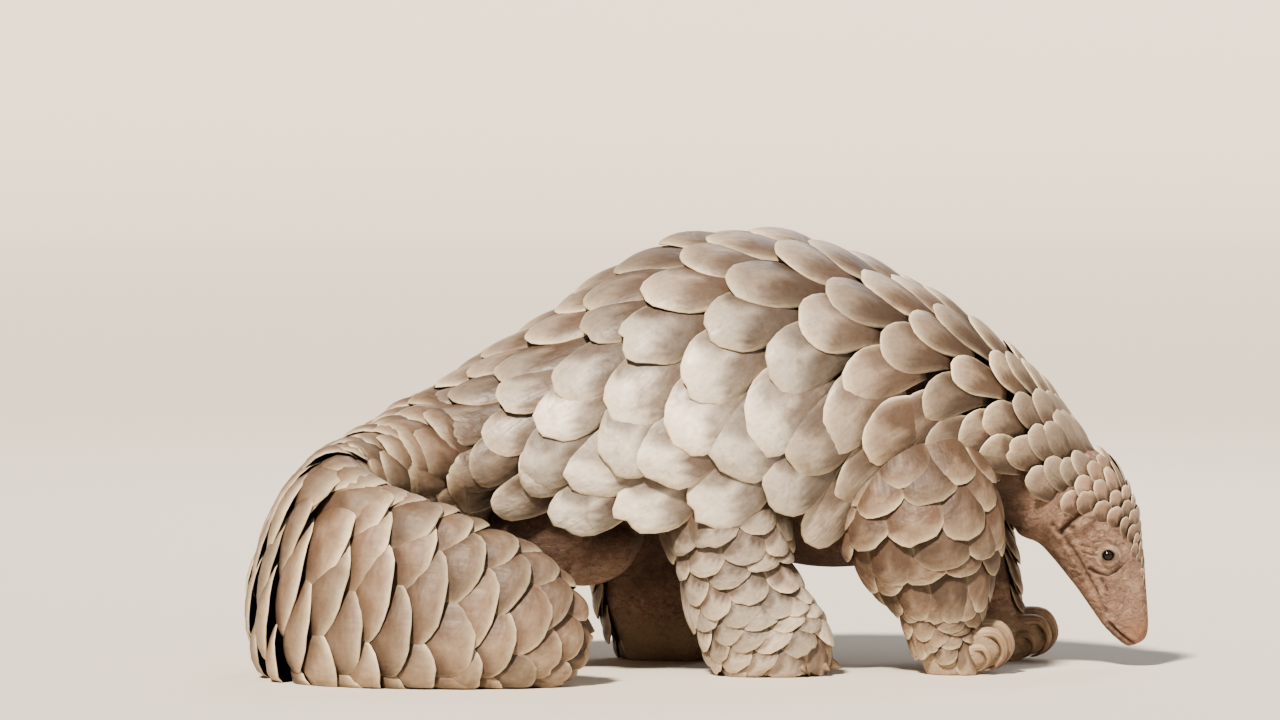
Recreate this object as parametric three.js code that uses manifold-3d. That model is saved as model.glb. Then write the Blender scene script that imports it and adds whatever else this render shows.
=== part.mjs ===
// A life-size ground pangolin walking with its head low and its tail curled round to its right side.
// Millimetres, +Z up. The animal faces +X and its right side is -Y.
import * as THREE from "three";
import { mergeVertices } from "three/addons/utils/BufferGeometryUtils.js";
import Module from "manifold-3d";

const wasm = await Module();
wasm.setup();

// Driving sizes
const GAP = 0.3; // kept between neighbouring pieces
const RING_POINTS = 22; // points round a cross-section of the body
const SECTION_POWER = 0.92; // below 1 squares a cross-section slightly
const SCUTE_SEED = 7;
const WELD = 1e-4; // corners closer than this are one
const SKIN = "#92705c";
const SCUTE = "#b5a08c";
const CLAW = "#b8a184";
const EYE_COLOUR = "#1a1210";

// The body from the neck to the tail's tip. at is the middle of the section, up points to the back of the
// animal, wide is the half width, top and bottom are the reaches above and below the middle.
const BODY = [
  { at: [226, 0, 92], up: [0.62, 0, 0.78], wide: 31, top: 31, bottom: 31 },
  { at: [205, 0, 104], up: [0.53, 0, 0.85], wide: 35, top: 34, bottom: 35 },
  { at: [162, 0, 137], up: [0.36, 0, 0.93], wide: 58, top: 48, bottom: 50 },
  { at: [111, 0, 154], up: [0.2, 0, 0.98], wide: 80, top: 68, bottom: 70 },
  { at: [53, 0, 157], up: [0.02, 0, 1], wide: 95, top: 88, bottom: 92 },
  { at: [-6, 0, 150], up: [-0.15, 0, 0.99], wide: 100, top: 88, bottom: 88 },
  { at: [-60, 0, 138], up: [-0.34, 0, 0.94], wide: 94, top: 68, bottom: 70 },
  { at: [-110, -1, 127], up: [-0.46, 0, 0.89], wide: 80, top: 48, bottom: 48 },
  { at: [-154, -8, 113], up: [-0.56, 0.04, 0.83], wide: 70, top: 34, bottom: 34 },
  { at: [-193, -28, 94], up: [-0.72, 0.1, 0.68], wide: 65, top: 26, bottom: 27 },
  { at: [-218, -60, 74], up: [-0.9, 0.04, 0.42], wide: 62, top: 22, bottom: 23 },
  { at: [-220, -100, 60], up: [-0.9, -0.38, 0.2], wide: 59, top: 20, bottom: 21 },
  { at: [-196, -134, 52], up: [-0.62, -0.76, 0.2], wide: 54, top: 19, bottom: 19 },
  { at: [-152, -152, 46], up: [-0.18, -0.94, 0.26], wide: 48, top: 18, bottom: 17 },
  { at: [-110, -154, 38], up: [0.02, -0.95, 0.3], wide: 39, top: 16, bottom: 14 },
  { at: [-82, -149, 26], up: [0.06, -0.94, 0.3], wide: 26, top: 12, bottom: 10 },
  { at: [-69, -146, 20], up: [0.06, -0.94, 0.3], wide: 10, top: 5, bottom: 5 },
];
const NECK_START = 0.7; // stations, where the neck meets the head
// Where each piece of the body ends, in stations.
const CUTS = {
  neck: 1.75,
  shoulders: 3.5,
  back: 4.6,
  hips: 7.2,
  tail_base: 9.2,
  tail_bend: 11.2,
  tail_side: 13.1,
};
const BODY_END = BODY.length - 1;

// The head from the neck joint to the snout's end, with sizes as for the body.
const HEAD = [
  { at: [203, 0, 105], up: [0.56, 0, 0.83], wide: 34, top: 33, bottom: 33 },
  { at: [216, 0, 96], up: [0.68, 0, 0.73], wide: 33, top: 32, bottom: 31 },
  { at: [227, 0, 79], up: [0.84, 0, 0.54], wide: 28, top: 29, bottom: 27 },
  { at: [236, 0, 61], up: [0.93, 0, 0.36], wide: 21, top: 23, bottom: 23 },
  { at: [243, 0, 43], up: [0.95, 0, 0.3], wide: 15, top: 18, bottom: 18 },
  { at: [249, 0, 28], up: [0.95, 0, 0.3], wide: 11.5, top: 13, bottom: 14 },
  { at: [253, 0, 18], up: [0.93, 0, 0.36], wide: 9.5, top: 9, bottom: 9 },
  { at: [255, 0, 13.5], up: [0.9, 0, 0.42], wide: 6, top: 5, bottom: 5 },
];
const EYE = { at: [236.5, 20.8, 66], radius: 4.2, lid: 6.4, lidProud: 3.1 };
const EAR = { at: [222, 30.2, 86], long: 10.5, wide: 3, proud: 3.4, slope: -0.67 };
const MOUTH = { from: [236, 0, 22], to: [249, 0, 13], width: 22, thick: 1.1 };
const NOSTRIL = { at: [256.6, 3, 16.5], deep: 2.6, radius: 1.3, slope: 0.5 };

// Legs from inside the body to the sole. up points forward, so top and bottom are the reaches fore and aft.
const LEGS = {
  foreleg_right: {
    side: -1,
    stations: [
      { at: [118, -44, 148], wide: 34, top: 42, bottom: 44 },
      { at: [122, -58, 112], wide: 30, top: 46, bottom: 46 },
      { at: [129, -60, 84], wide: 27, top: 42, bottom: 44 },
      { at: [134, -58, 62], wide: 24, top: 35, bottom: 36 },
      { at: [138, -56, 42], wide: 21, top: 25, bottom: 25 },
      { at: [139, -55, 24], wide: 18, top: 19, bottom: 18 },
      { at: [143, -55, 10], wide: 18, top: 17, bottom: 16 },
      { at: [145, -55, -2], wide: 17, top: 15, bottom: 14 },
    ],
    scutesTo: 5.3,
  },
  foreleg_left: {
    side: 1,
    stations: [
      { at: [122, 44, 148], wide: 34, top: 42, bottom: 44 },
      { at: [132, 57, 112], wide: 30, top: 42, bottom: 44 },
      { at: [146, 58, 84], wide: 26, top: 34, bottom: 38 },
      { at: [158, 56, 64], wide: 22, top: 26, bottom: 27 },
      { at: [167, 54, 46], wide: 19, top: 20, bottom: 20 },
      { at: [172, 53, 28], wide: 18, top: 17, bottom: 17 },
      { at: [175, 53, 12], wide: 18, top: 17, bottom: 16 },
      { at: [176, 53, -2], wide: 17, top: 15, bottom: 14 },
    ],
    scutesTo: 4.7,
  },
  hindleg_right: {
    side: -1,
    stations: [
      { at: [-4, -44, 140], wide: 40, top: 48, bottom: 50 },
      { at: [6, -58, 108], wide: 33, top: 42, bottom: 42 },
      { at: [16, -62, 78], wide: 28, top: 33, bottom: 31 },
      { at: [21, -62, 56], wide: 26, top: 30, bottom: 29 },
      { at: [28, -62, 36], wide: 26, top: 31, bottom: 30 },
      { at: [36, -62, 19], wide: 27, top: 35, bottom: 31 },
      { at: [43, -62, 7], wide: 26, top: 34, bottom: 29 },
      { at: [45, -62, -2], wide: 22, top: 29, bottom: 24 },
    ],
    scutesTo: 5.9,
  },
  hindleg_left: {
    side: 1,
    stations: [
      { at: [-26, 44, 140], wide: 40, top: 48, bottom: 50 },
      { at: [-28, 58, 108], wide: 33, top: 42, bottom: 42 },
      { at: [-30, 62, 78], wide: 28, top: 33, bottom: 31 },
      { at: [-31, 62, 56], wide: 26, top: 30, bottom: 29 },
      { at: [-28, 62, 36], wide: 26, top: 31, bottom: 30 },
      { at: [-20, 62, 19], wide: 27, top: 35, bottom: 31 },
      { at: [-13, 62, 7], wide: 26, top: 34, bottom: 29 },
      { at: [-11, 62, -2], wide: 22, top: 29, bottom: 24 },
    ],
    scutesTo: 5.9,
  },
};
// Boxes that part the legs from the trunk, low corner and high corner, for a right leg.
const LEG_BOXES = {
  foreleg_right: [[80, -130, -9], [190, -20, 86]],
  foreleg_left: [[70, 20, -9], [215, 130, 86]],
  hindleg_right: [[-62, -130, -9], [79.7, -27, 74]],
  hindleg_left: [[-84, 27, -9], [62, 130, 74]],
};
const FOOT_HEIGHT = { foreleg: 34, hindleg: 20 };

// Claws. The middle three of a forefoot are long and bend down and back under it, so that the foot rests
// on their curve. Those of a hind foot are short and blunt, like an elephant's nails.
const FORE_CLAWS = [
  { out: 15, root: [8, 14], reach: 12, drop: 12, thick: 3 },
  { out: 9.5, root: [10, 22], reach: 19, drop: 20.5, thick: 4.2 },
  { out: 0, root: [10, 25], reach: 23, drop: 23.5, thick: 5 },
  { out: -9.5, root: [10, 22], reach: 19, drop: 20.5, thick: 4.2 },
  { out: -15, root: [8, 14], reach: 12, drop: 12, thick: 3 },
];
const HIND_CLAWS = {
  spread: [-58, -28, 0, 28, 58], // degrees from straight ahead
  station: 6.1, // of the leg, whose rim carries them
  long: 10,
  thick: 5.2,
  height: 6,
  sunk: 6,
  drop: 3.2,
};
const BALL_SIDES = 10;
const BALL_ROWS = 7;
const CLAW_STEPS = 4;
const CLAW_SIDES = 5;
const CLAW_TAPER = 0.72; // share of its thickness that a claw loses to its tip

// Scutes. A step is the distance between staggered rows, a height is how far a tip stands up, a dome how far
// the middle rises and a reach how far round from the back, or from the outside of a leg, in radians.
const TRUNK_SCUTES = {
  columns: 12,
  dome: 1.6,
  step: { nape: 13.5, back: 22.5, hips: 20 },
  height: { nape: 4.5, back: 8.5 },
  reach: { nape: 1.95, back: 2.05 },
  growth: 3, // stations behind the neck's joint over which they grow from the nape's size to the back's
  flare: 0.021, // the lowest stand out most
};
const TAIL_SCUTES = {
  columns: 8,
  dome: 1.1,
  step: { base: 22, tip: 19 },
  height: { base: 8.5, tip: 6 },
  under: { from: 2, share: 0.6 }, // those beneath are flatter
};
const LEG_SCUTES = {
  columns: 8,
  dome: 0.8,
  step: { top: 15.5, bottom: 13.5 },
  height: { top: 6.5, bottom: 4.5 },
  reach: 1.9,
  from: 1.3, // above this station a leg is inside the trunk
};
const SCUTE_UNEVEN = { height: 0.16, place: 0.1 }; // shares by which scutes differ
// Where a scute's free edge bows out between its side corner and its tip: how far along, and by how much.
const EDGE_BOW = { along: 0.54, by: 0.17 };
const SPARE_ROWS = 3; // of a lattice past the end of a piece cut from it
const LATTICE_OVERLAP = 1.3; // stations by which the trunk's and the tail's lattices pass each other

// A seeded draw between -1 and 1.
function seededDraw(seed) {
  let state = seed;
  return () => {
    state = (state * 48271) % 2147483647;
    return (state / 2147483647) * 2 - 1;
  };
}
const draw = seededDraw(SCUTE_SEED);

// Catmull-Rom between rows of numbers; place counts rows and may be fractional.
function spline(rows, place) {
  const last = rows.length - 1;
  const i = Math.min(Math.max(Math.floor(place), 0), last - 1);
  const s = place - i;
  const [a, b, c, d] = [i - 1, i, i + 1, i + 2].map((k) => rows[Math.min(Math.max(k, 0), last)]);
  return b.map((_, n) => {
    const slopeIn = (c[n] - a[n]) / 2;
    const slopeOut = (d[n] - b[n]) / 2;
    const rise = c[n] - b[n];
    const square = 3 * rise - 2 * slopeIn - slopeOut;
    const cube = slopeIn + slopeOut - 2 * rise;
    return b[n] + s * (slopeIn + s * (square + s * cube));
  });
}

// A surface lofted through stations: point(place, angle), with angle 0 on the back and a quarter turn on
// the animal's right for the body, or on the outside for a leg.
function makeLoft(stations, forward) {
  const rows = stations.map((s) => [...s.at, ...(s.up ?? forward), s.wide, s.top, s.bottom]);
  const step = 0.01;
  const centre = (place) => new THREE.Vector3(...spline(rows, place).slice(0, 3));
  function section(place) {
    const row = spline(rows, place);
    const along = centre(place + step).sub(centre(place - step)).normalize();
    const up = new THREE.Vector3(row[3], row[4], row[5]);
    up.addScaledVector(along, -up.dot(along)).normalize();
    const right = new THREE.Vector3().crossVectors(up, along);
    const middle = new THREE.Vector3(...row.slice(0, 3));
    const [wide, top, bottom] = row.slice(6);
    return { middle, along, up, right, wide, top, bottom };
  }
  function point(place, angle) {
    const s = section(place);
    const c = Math.cos(angle);
    const d = Math.sin(angle);
    const high = Math.sign(c) * Math.abs(c) ** SECTION_POWER * (c > 0 ? s.top : s.bottom);
    const across = Math.sign(d) * Math.abs(d) ** SECTION_POWER * s.wide;
    return s.middle.clone().addScaledVector(s.up, high).addScaledVector(s.right, across);
  }
  function frameAt(place, angle) {
    const h = 0.02;
    const alongWay = point(place + h, angle).sub(point(place - h, angle)).divideScalar(2 * h);
    const roundWay = point(place, angle + h).sub(point(place, angle - h)).divideScalar(2 * h);
    const normal = new THREE.Vector3().crossVectors(alongWay, roundWay).normalize();
    if (normal.dot(point(place, angle).sub(section(place).middle)) < 0) normal.negate();
    return { alongSpeed: alongWay.length(), roundSpeed: roundWay.length(), normal };
  }
  return { section, point, frameAt, last: stations.length - 1 };
}

function toManifold(vertices, triangles) {
  const geometry = new THREE.BufferGeometry();
  const numbers = vertices.flatMap((v) => v.toArray());
  geometry.setAttribute("position", new THREE.Float32BufferAttribute(numbers, 3));
  geometry.setIndex(triangles);
  return geometryToManifold(geometry);
}

// A geometry as a solid, turned inside out first if its faces point inwards.
function geometryToManifold(geometry) {
  geometry.deleteAttribute("normal");
  geometry.deleteAttribute("uv");
  const merged = mergeVertices(geometry, WELD);
  const vertProperties = merged.attributes.position.array;
  const solidOf = (corners) =>
    new wasm.Manifold(new wasm.Mesh({ numProp: 3, vertProperties, triVerts: new Uint32Array(corners) }));
  const made = solidOf(merged.index.array);
  if (made.volume() >= 0) return made;
  const turned = merged.index.array.slice();
  for (let i = 0; i < turned.length; i += 3) [turned[i], turned[i + 1]] = [turned[i + 1], turned[i]];
  return solidOf(turned);
}

// The closed solid through rings of points, one after another, and the middles of its two ends.
function tubeSolid(rings, ringPoints, firstMiddle, lastMiddle) {
  const steps = rings.length / ringPoints - 1;
  const first = rings.length;
  const final = first + 1;
  const triangles = [];
  for (let k = 0; k < ringPoints; k++) {
    const next = (k + 1) % ringPoints;
    triangles.push(first, next, k, final, steps * ringPoints + k, steps * ringPoints + next);
    for (let i = 0; i < steps; i++) {
      const a = i * ringPoints;
      const b = a + ringPoints;
      triangles.push(a + k, a + next, b + k, a + next, b + next, b + k);
    }
  }
  return toManifold([...rings, firstMiddle, lastMiddle], triangles);
}

// The whole of a loft as a closed solid.
function loftSolid(loft, stepsPerStation) {
  const steps = loft.last * stepsPerStation;
  const rings = [];
  for (let i = 0; i <= steps; i++) {
    const place = i / stepsPerStation;
    for (let k = 0; k < RING_POINTS; k++) rings.push(loft.point(place, (k * 2 * Math.PI) / RING_POINTS));
  }
  return tubeSolid(rings, RING_POINTS, loft.section(0).middle, loft.section(loft.last).middle);
}

// Staggered rows of scutes over a loft. plan gives the columns round the loft, the dome of a scute, the step
// between rows at a place and the height at a place and an angle.
function scuteLattice(loft, from, to, plan) {
  const half = 2 * plan.columns;
  const places = [from];
  while (places.at(-1) < to) {
    const place = places.at(-1);
    places.push(place + plan.step(place) / loft.frameAt(place, 0).alongSpeed);
  }
  places[places.length - 1] = to;
  const angleOf = (j) => (j * 2 * Math.PI) / half;
  const uneven = (share) => 1 + share * draw();
  const tall = places.map((place) =>
    Array.from({ length: half }, (_, j) => plan.height(place, angleOf(j)) * uneven(SCUTE_UNEVEN.height)),
  );
  const jitter = places.map(() => Array.from({ length: half }, () => SCUTE_UNEVEN.place * draw()));
  return { loft, plan, half, places, angleOf, tall, jitter };
}

// The loft as one closed solid between two places, with the lattice's scutes raised in its surface. Each
// scute is a diamond from the tip of the one ahead, its root at the skin, to its own lifted tip, and its two
// free edges step down to the scutes behind. The two rows at either end have none.
function scaledSolid({ loft, plan, half, places, angleOf, tall, jitter }, from = -Infinity, to = Infinity) {
  const start = Math.max(places.findLastIndex((place) => place <= from) - SPARE_ROWS, 0);
  const after = places.findIndex((place) => place >= to);
  const rows = after < 0 ? places.length : Math.min(after + SPARE_ROWS + 1, places.length);
  const wrap = (j) => ((j % half) + half) % half;
  const vertices = [];
  const index = new Map();
  const triangles = [];

  function put(key, row, column, height) {
    if (index.has(key)) return index.get(key);
    const ahead = Math.floor(row);
    const behind = Math.min(ahead + 1, places.length - 1);
    const place = THREE.MathUtils.lerp(places[ahead], places[behind], row % 1);
    const angle = angleOf(column);
    const point = loft.point(place, angle).addScaledVector(loft.frameAt(place, angle).normal, height);
    index.set(key, vertices.push(point) - 1);
    return index.get(key);
  }
  const heightAt = (i, j) => (i < start + 2 || i > rows - 3 ? 0 : tall[i][wrap(j)]);
  // A lattice point at level 0 (skin, the root of the scute behind), 1 (side corners) or 2 (a tip).
  function corner(i, j, level) {
    const h = heightAt(i, j);
    const used = h > 0 ? level : 0;
    const row = i + (h > 0 ? jitter[i][wrap(j)] : 0);
    return put(`${i},${wrap(j)},${used}`, row, j, (h * used) / 2);
  }
  // The point on a free edge between a side corner (side -1 or 1) and the tip, on its rim or at its foot.
  function edge(i, j, side, rim) {
    const begin = heightAt(i + 1, j + side);
    const end = heightAt(i + 2, j);
    if (begin + end === 0) return [];
    const { along, by } = EDGE_BOW;
    const height = rim ? (begin / 2) * (1 - along) + end * along : (end / 2) * along;
    return [put(`${i},${wrap(j)},${side},${rim}`, i + 1 + along + by, j + side * (1 - along + by), height)];
  }
  const face = (a, b, c) => {
    if (a !== b && b !== c && c !== a) triangles.push(a, b, c);
  };
  for (let i = start; i + 2 < rows; i++) {
    for (let j = i % 2; j < half; j += 2) {
      const rightFoot = i > start ? edge(i - 1, j + 1, -1, false) : [];
      const leftFoot = i > start ? edge(i - 1, j - 1, 1, false) : [];
      const outline = [
        corner(i, j, 0),
        ...leftFoot,
        corner(i + 1, j - 1, 1),
        ...edge(i, j, -1, true),
        corner(i + 2, j, 2),
        ...edge(i, j, 1, true),
        corner(i + 1, j + 1, 1),
        ...rightFoot,
      ];
      // The middle of the four corners, whose heights are nothing, half, all and half.
      const h = (heightAt(i + 2, j) * 2 + heightAt(i + 1, j - 1) + heightAt(i + 1, j + 1)) / 8;
      const crown = put(`crown ${i},${j}`, i + 1, j, h > 0 ? h + plan.dome : 0);
      outline.forEach((at, k) => face(at, crown, outline[(k + 1) % outline.length]));
      for (const side of [-1, 1]) {
        const rim = [corner(i + 1, j + side, 1), ...edge(i, j, side, true), corner(i + 2, j, 2)];
        const foot = [corner(i + 1, j + side, 0), ...edge(i, j, side, false), corner(i + 2, j, 1)];
        for (let k = 0; k + 1 < rim.length; k++) {
          const quad = [rim[k], rim[k + 1], foot[k + 1], foot[k]];
          if (side > 0) quad.reverse();
          face(quad[0], quad[1], quad[2]);
          face(quad[0], quad[2], quad[3]);
        }
      }
    }
  }
  const first = vertices.push(loft.section(places[start]).middle) - 1;
  const final = vertices.push(loft.section(places[rows - 1]).middle) - 1;
  for (let j = 0; j < half; j++) {
    const nearOdd = (start + j) % 2;
    const farOdd = (rows - 1 + j) % 2;
    face(first, corner(start + 1 - nearOdd, j + 1, 0), corner(start + nearOdd, j, 0));
    face(final, corner(rows - 1 - farOdd, j, 0), corner(rows - 2 + farOdd, j + 1, 0));
  }
  return toManifold(vertices, triangles);
}

const mix = (a, b, share) => a + (b - a) * Math.min(Math.max(share, 0), 1);
// The size of an angle after whole turns are taken off: 0 on the back, pi under the belly.
const offBack = (angle) => Math.abs(Math.atan2(Math.sin(angle), Math.cos(angle)));

// Scutes cover the back and flanks of the trunk down to a bare belly.
function trunkPlan() {
  const { columns, dome, step, height, reach, growth, flare } = TRUNK_SCUTES;
  const grown = (place) => (place - NECK_START) / growth;
  return {
    columns,
    dome,
    step: (place) =>
      grown(place) < 1 ? mix(step.nape, step.back, grown(place)) : mix(step.back, step.hips, place - 6),
    height: (place, angle) => {
      if (offBack(angle) > mix(reach.nape, reach.back, grown(place))) return 0;
      return mix(height.nape, height.back, grown(place)) * (1 + flare * offBack(angle) ** 4);
    },
  };
}

// They go all round the tail.
function tailPlan() {
  const { columns, dome, step, height, under } = TAIL_SCUTES;
  const share = (place) => (place - CUTS.hips) / (BODY_END - CUTS.hips);
  return {
    columns,
    dome,
    step: (place) => mix(step.base, step.tip, share(place)),
    height: (place, angle) =>
      mix(height.base, height.tip, share(place)) * (offBack(angle) > under.from ? under.share : 1),
  };
}

// A leg has them outside, in front and behind, down to the foot, and its inner face is bare.
function legPlan(name) {
  const { side, scutesTo } = LEGS[name];
  const { columns, dome, step, height, reach, from } = LEG_SCUTES;
  const fromOutside = (angle) => offBack(angle - (side * Math.PI) / 2);
  return {
    columns,
    dome,
    step: (place) => mix(step.top, step.bottom, place / scutesTo),
    height: (place, angle) => {
      if (place < from || place > scutesTo || fromOutside(angle) > reach) return 0;
      return mix(height.top, height.bottom, place / scutesTo);
    },
  };
}

function box([low, high], grow = 0) {
  const size = high.map((v, i) => v - low[i] + 2 * grow);
  const geometry = new THREE.BoxGeometry(...size);
  geometry.translate(...high.map((v, i) => (v + low[i]) / 2));
  return geometryToManifold(geometry);
}

// Keeps the side of a loft's section at place that lies towards direction (1 for later places).
function trimAt(solid, loft, place, direction) {
  const { middle, along } = loft.section(place);
  const normal = along.clone().multiplyScalar(direction);
  return solid.trimByPlane(normal.toArray(), middle.dot(normal) + GAP / 2);
}

const aboveFloor = (solid) => solid.trimByPlane([0, 0, 1], 0);

// The largest closed surface of a solid.
const largest = (solid) => solid.decompose().sort((a, b) => b.volume() - a.volume())[0];

const body = makeLoft(BODY);
const head = makeLoft(HEAD);
const FORWARD = [1, 0, 0];
const legLofts = {};
for (const [name, leg] of Object.entries(LEGS)) legLofts[name] = makeLoft(leg.stations, FORWARD);

const legSolid = (name) => scaledSolid(scuteLattice(legLofts[name], 0, legLofts[name].last, legPlan(name)));

// A horn claw along an arc from its root on the knuckle to its tip, thinner towards the tip and grown all
// round where it is the room cut for a claw.
function clawSolid(points, thick, grow = 0) {
  const rows = points.map((p) => p.toArray());
  const at = (s) => new THREE.Vector3(...spline(rows, s * (rows.length - 1)));
  const rings = [];
  const middles = [];
  for (let i = 0; i <= CLAW_STEPS; i++) {
    const s = i / CLAW_STEPS;
    const along = at(s + 0.01).sub(at(s - 0.01)).normalize();
    const side = new THREE.Vector3(0, 1, 0).addScaledVector(along, -along.y).normalize();
    const up = new THREE.Vector3().crossVectors(along, side);
    const radius = thick * (1 - CLAW_TAPER * s ** 1.4) + grow;
    const middle = at(s);
    if (i === 0) middle.addScaledVector(along, -grow);
    if (i === CLAW_STEPS) middle.addScaledVector(along, grow);
    middles.push(middle);
    for (let k = 0; k < CLAW_SIDES; k++) {
      const a = (k * 2 * Math.PI) / CLAW_SIDES;
      const out = side.clone().multiplyScalar(Math.cos(a) * 0.8).addScaledVector(up, Math.sin(a));
      rings.push(middle.clone().addScaledVector(out, radius));
    }
  }
  return tubeSolid(rings, CLAW_SIDES, middles[0], middles.at(-1));
}

// The arc of one forefoot claw: out along the ground from the wrist, then down and back.
function foreClawPath(claw, sole) {
  const [fore, high] = claw.root;
  const y = sole.y + claw.out;
  const lean = claw.out * 0.25;
  const at = (reach, sideways, drop) =>
    new THREE.Vector3(sole.x + fore + claw.reach * reach, y + lean * sideways, high - claw.drop * drop);
  const knuckle = at(0.72, 0, 0).add(new THREE.Vector3(0, 0, 1));
  return [at(0, -1, 0), knuckle, at(1, 0.3, 0.42), at(0.72, 0, 0.86), at(0.2, 0, 1)];
}

// The blunt nail of a hind foot, out from the rim of the sole at a bearing in degrees from straight ahead.
function hindClawPath(bearing, loft) {
  const rim = loft.section(HIND_CLAWS.station);
  const angle = THREE.MathUtils.degToRad(bearing);
  const ahead = new THREE.Vector3(Math.cos(angle), Math.sin(angle), 0);
  const down = new THREE.Vector3(0, 0, -HIND_CLAWS.drop);
  const reach = 1 / Math.hypot(Math.cos(angle) / rim.top, Math.sin(angle) / rim.wide) - HIND_CLAWS.sunk;
  const start = rim.middle.clone().setZ(HIND_CLAWS.height).addScaledVector(ahead, reach);
  return [0, 0.4, 0.75, 1].map((s) =>
    start.clone().addScaledVector(ahead, s * HIND_CLAWS.long).addScaledVector(down, s * s),
  );
}

function legClaws(name) {
  const loft = legLofts[name];
  const sole = loft.section(loft.last).middle;
  if (name.startsWith("fore")) {
    return FORE_CLAWS.map((claw) => ({ path: foreClawPath(claw, sole), thick: claw.thick }));
  }
  return HIND_CLAWS.spread.map((bearing) => ({ path: hindClawPath(bearing, loft), thick: HIND_CLAWS.thick }));
}

function ellipsoid(at, radii, turnY = 0) {
  const geometry = new THREE.SphereGeometry(1, BALL_SIDES, BALL_ROWS);
  geometry.scale(...radii);
  geometry.rotateY(turnY);
  geometry.translate(...at);
  return geometryToManifold(geometry);
}

const mirrored = ([x, y, z], side) => [x, y * side, z];

// The low ridge of skin that stands for an ear, behind the cheek.
function earSolid(side, grow = 0) {
  const radii = [EAR.long + grow, EAR.proud + grow, EAR.wide + grow];
  return ellipsoid(mirrored(EAR.at, side), radii, EAR.slope);
}

function eyeSolid(side, grow = 0) {
  return ellipsoid(mirrored(EYE.at, side), Array(3).fill(EYE.radius + grow));
}

function headSolid() {
  const { deep, radius, slope } = NOSTRIL;
  const lids = [-1, 1].map((side) => ellipsoid(mirrored(EYE.at, side), [EYE.lid, EYE.lidProud, EYE.lid]));
  let solid = wasm.Manifold.union([loftSolid(head, 2), ...lids]);
  for (const side of [-1, 1]) {
    solid = solid.subtract(earSolid(side, GAP));
    solid = solid.subtract(eyeSolid(side, GAP));
    solid = solid.subtract(ellipsoid(mirrored(NOSTRIL.at, side), [deep, radius, radius], slope));
  }
  return solid.subtract(mouthCut());
}

// The line of the mouth, a thin cut across the underside of the snout.
function mouthCut() {
  const from = new THREE.Vector3(...MOUTH.from);
  const to = new THREE.Vector3(...MOUTH.to);
  const geometry = new THREE.BoxGeometry(from.distanceTo(to), MOUTH.width, MOUTH.thick);
  geometry.rotateY(-Math.atan2(to.z - from.z, to.x - from.x));
  const middle = from.add(to).divideScalar(2);
  geometry.translate(middle.x, middle.y, middle.z);
  return geometryToManifold(geometry);
}

const nodes = new Map();

function addLegs(trunk) {
  for (const name of Object.keys(LEGS)) {
    const claws = legClaws(name);
    let leg = trunk.intersect(box(LEG_BOXES[name]));
    claws.forEach(({ path, thick }, i) => {
      leg = leg.subtract(clawSolid(path, thick, GAP));
      const clawName = `${name.replace("leg", "claw")}_${i + 1}`;
      nodes.set(clawName, { solid: aboveFloor(clawSolid(path, thick)), colour: CLAW });
    });
    const footHeight = FOOT_HEIGHT[name.split("_")[0]];
    const lower = leg.trimByPlane([0, 0, -1], GAP / 2 - footHeight);
    const upper = leg.trimByPlane([0, 0, 1], footHeight + GAP / 2);
    nodes.set(name, { solid: upper, colour: SCUTE });
    nodes.set(name.replace("leg", "foot"), { solid: aboveFloor(lower), colour: SKIN });
  }
}

function build() {
  const trunkBody = scaledSolid(scuteLattice(body, 0, CUTS.hips + LATTICE_OVERLAP, trunkPlan()));
  const tail = scuteLattice(body, CUTS.hips - LATTICE_OVERLAP, BODY_END, tailPlan());
  const trunk = wasm.Manifold.union([trunkBody, ...Object.keys(LEGS).map(legSolid)]);
  addLegs(trunk);
  let rest = trunk;
  for (const corners of Object.values(LEG_BOXES)) rest = rest.subtract(box(corners, GAP));
  let from = NECK_START;
  for (const name of ["neck", "shoulders", "back", "hips"]) {
    const piece = trimAt(trimAt(rest, body, from, 1), body, CUTS[name], -1);
    nodes.set(name, { solid: piece, colour: SCUTE });
    from = CUTS[name];
  }
  for (const name of ["tail_base", "tail_bend", "tail_side", "tail_end"]) {
    const to = CUTS[name] ?? BODY_END + 1;
    let piece = trimAt(scaledSolid(tail, from, to), body, from, 1);
    if (CUTS[name]) piece = trimAt(piece, body, to, -1);
    nodes.set(name, { solid: aboveFloor(piece), colour: SCUTE });
    from = to;
  }
  nodes.set("head", { solid: trimAt(headSolid(), body, NECK_START, -1), colour: SKIN });
  for (const [name, side] of [["right", -1], ["left", 1]]) {
    nodes.set(`eye_${name}`, { solid: eyeSolid(side), colour: EYE_COLOUR });
    nodes.set(`ear_${name}`, { solid: earSolid(side), colour: SKIN });
  }
}

function toMesh(name, solid, colour) {
  const mesh = solid.getMesh();
  const geometry = new THREE.BufferGeometry();
  geometry.setAttribute("position", new THREE.BufferAttribute(new Float32Array(mesh.vertProperties), 3));
  geometry.setIndex(new THREE.BufferAttribute(new Uint32Array(mesh.triVerts), 1));
  geometry.computeVertexNormals();
  const material = new THREE.MeshStandardMaterial({ color: colour, roughness: 0.6, metalness: 0 });
  const made = new THREE.Mesh(geometry, material);
  made.name = name;
  return made;
}

build();
const pangolin = new THREE.Group();
for (const [name, { solid, colour }] of nodes) pangolin.add(toMesh(name, largest(solid), colour));

// The origin is on the floor, in the middle of the animal's box.
const extent = new THREE.Box3().setFromObject(pangolin);
const middle = extent.getCenter(new THREE.Vector3());
pangolin.position.set(-middle.x, -middle.y, -extent.min.z);
pangolin.updateMatrixWorld(true);

export default pangolin;
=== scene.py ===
"""A life-size ground pangolin walking with its head low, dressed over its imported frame."""

import math

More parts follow.
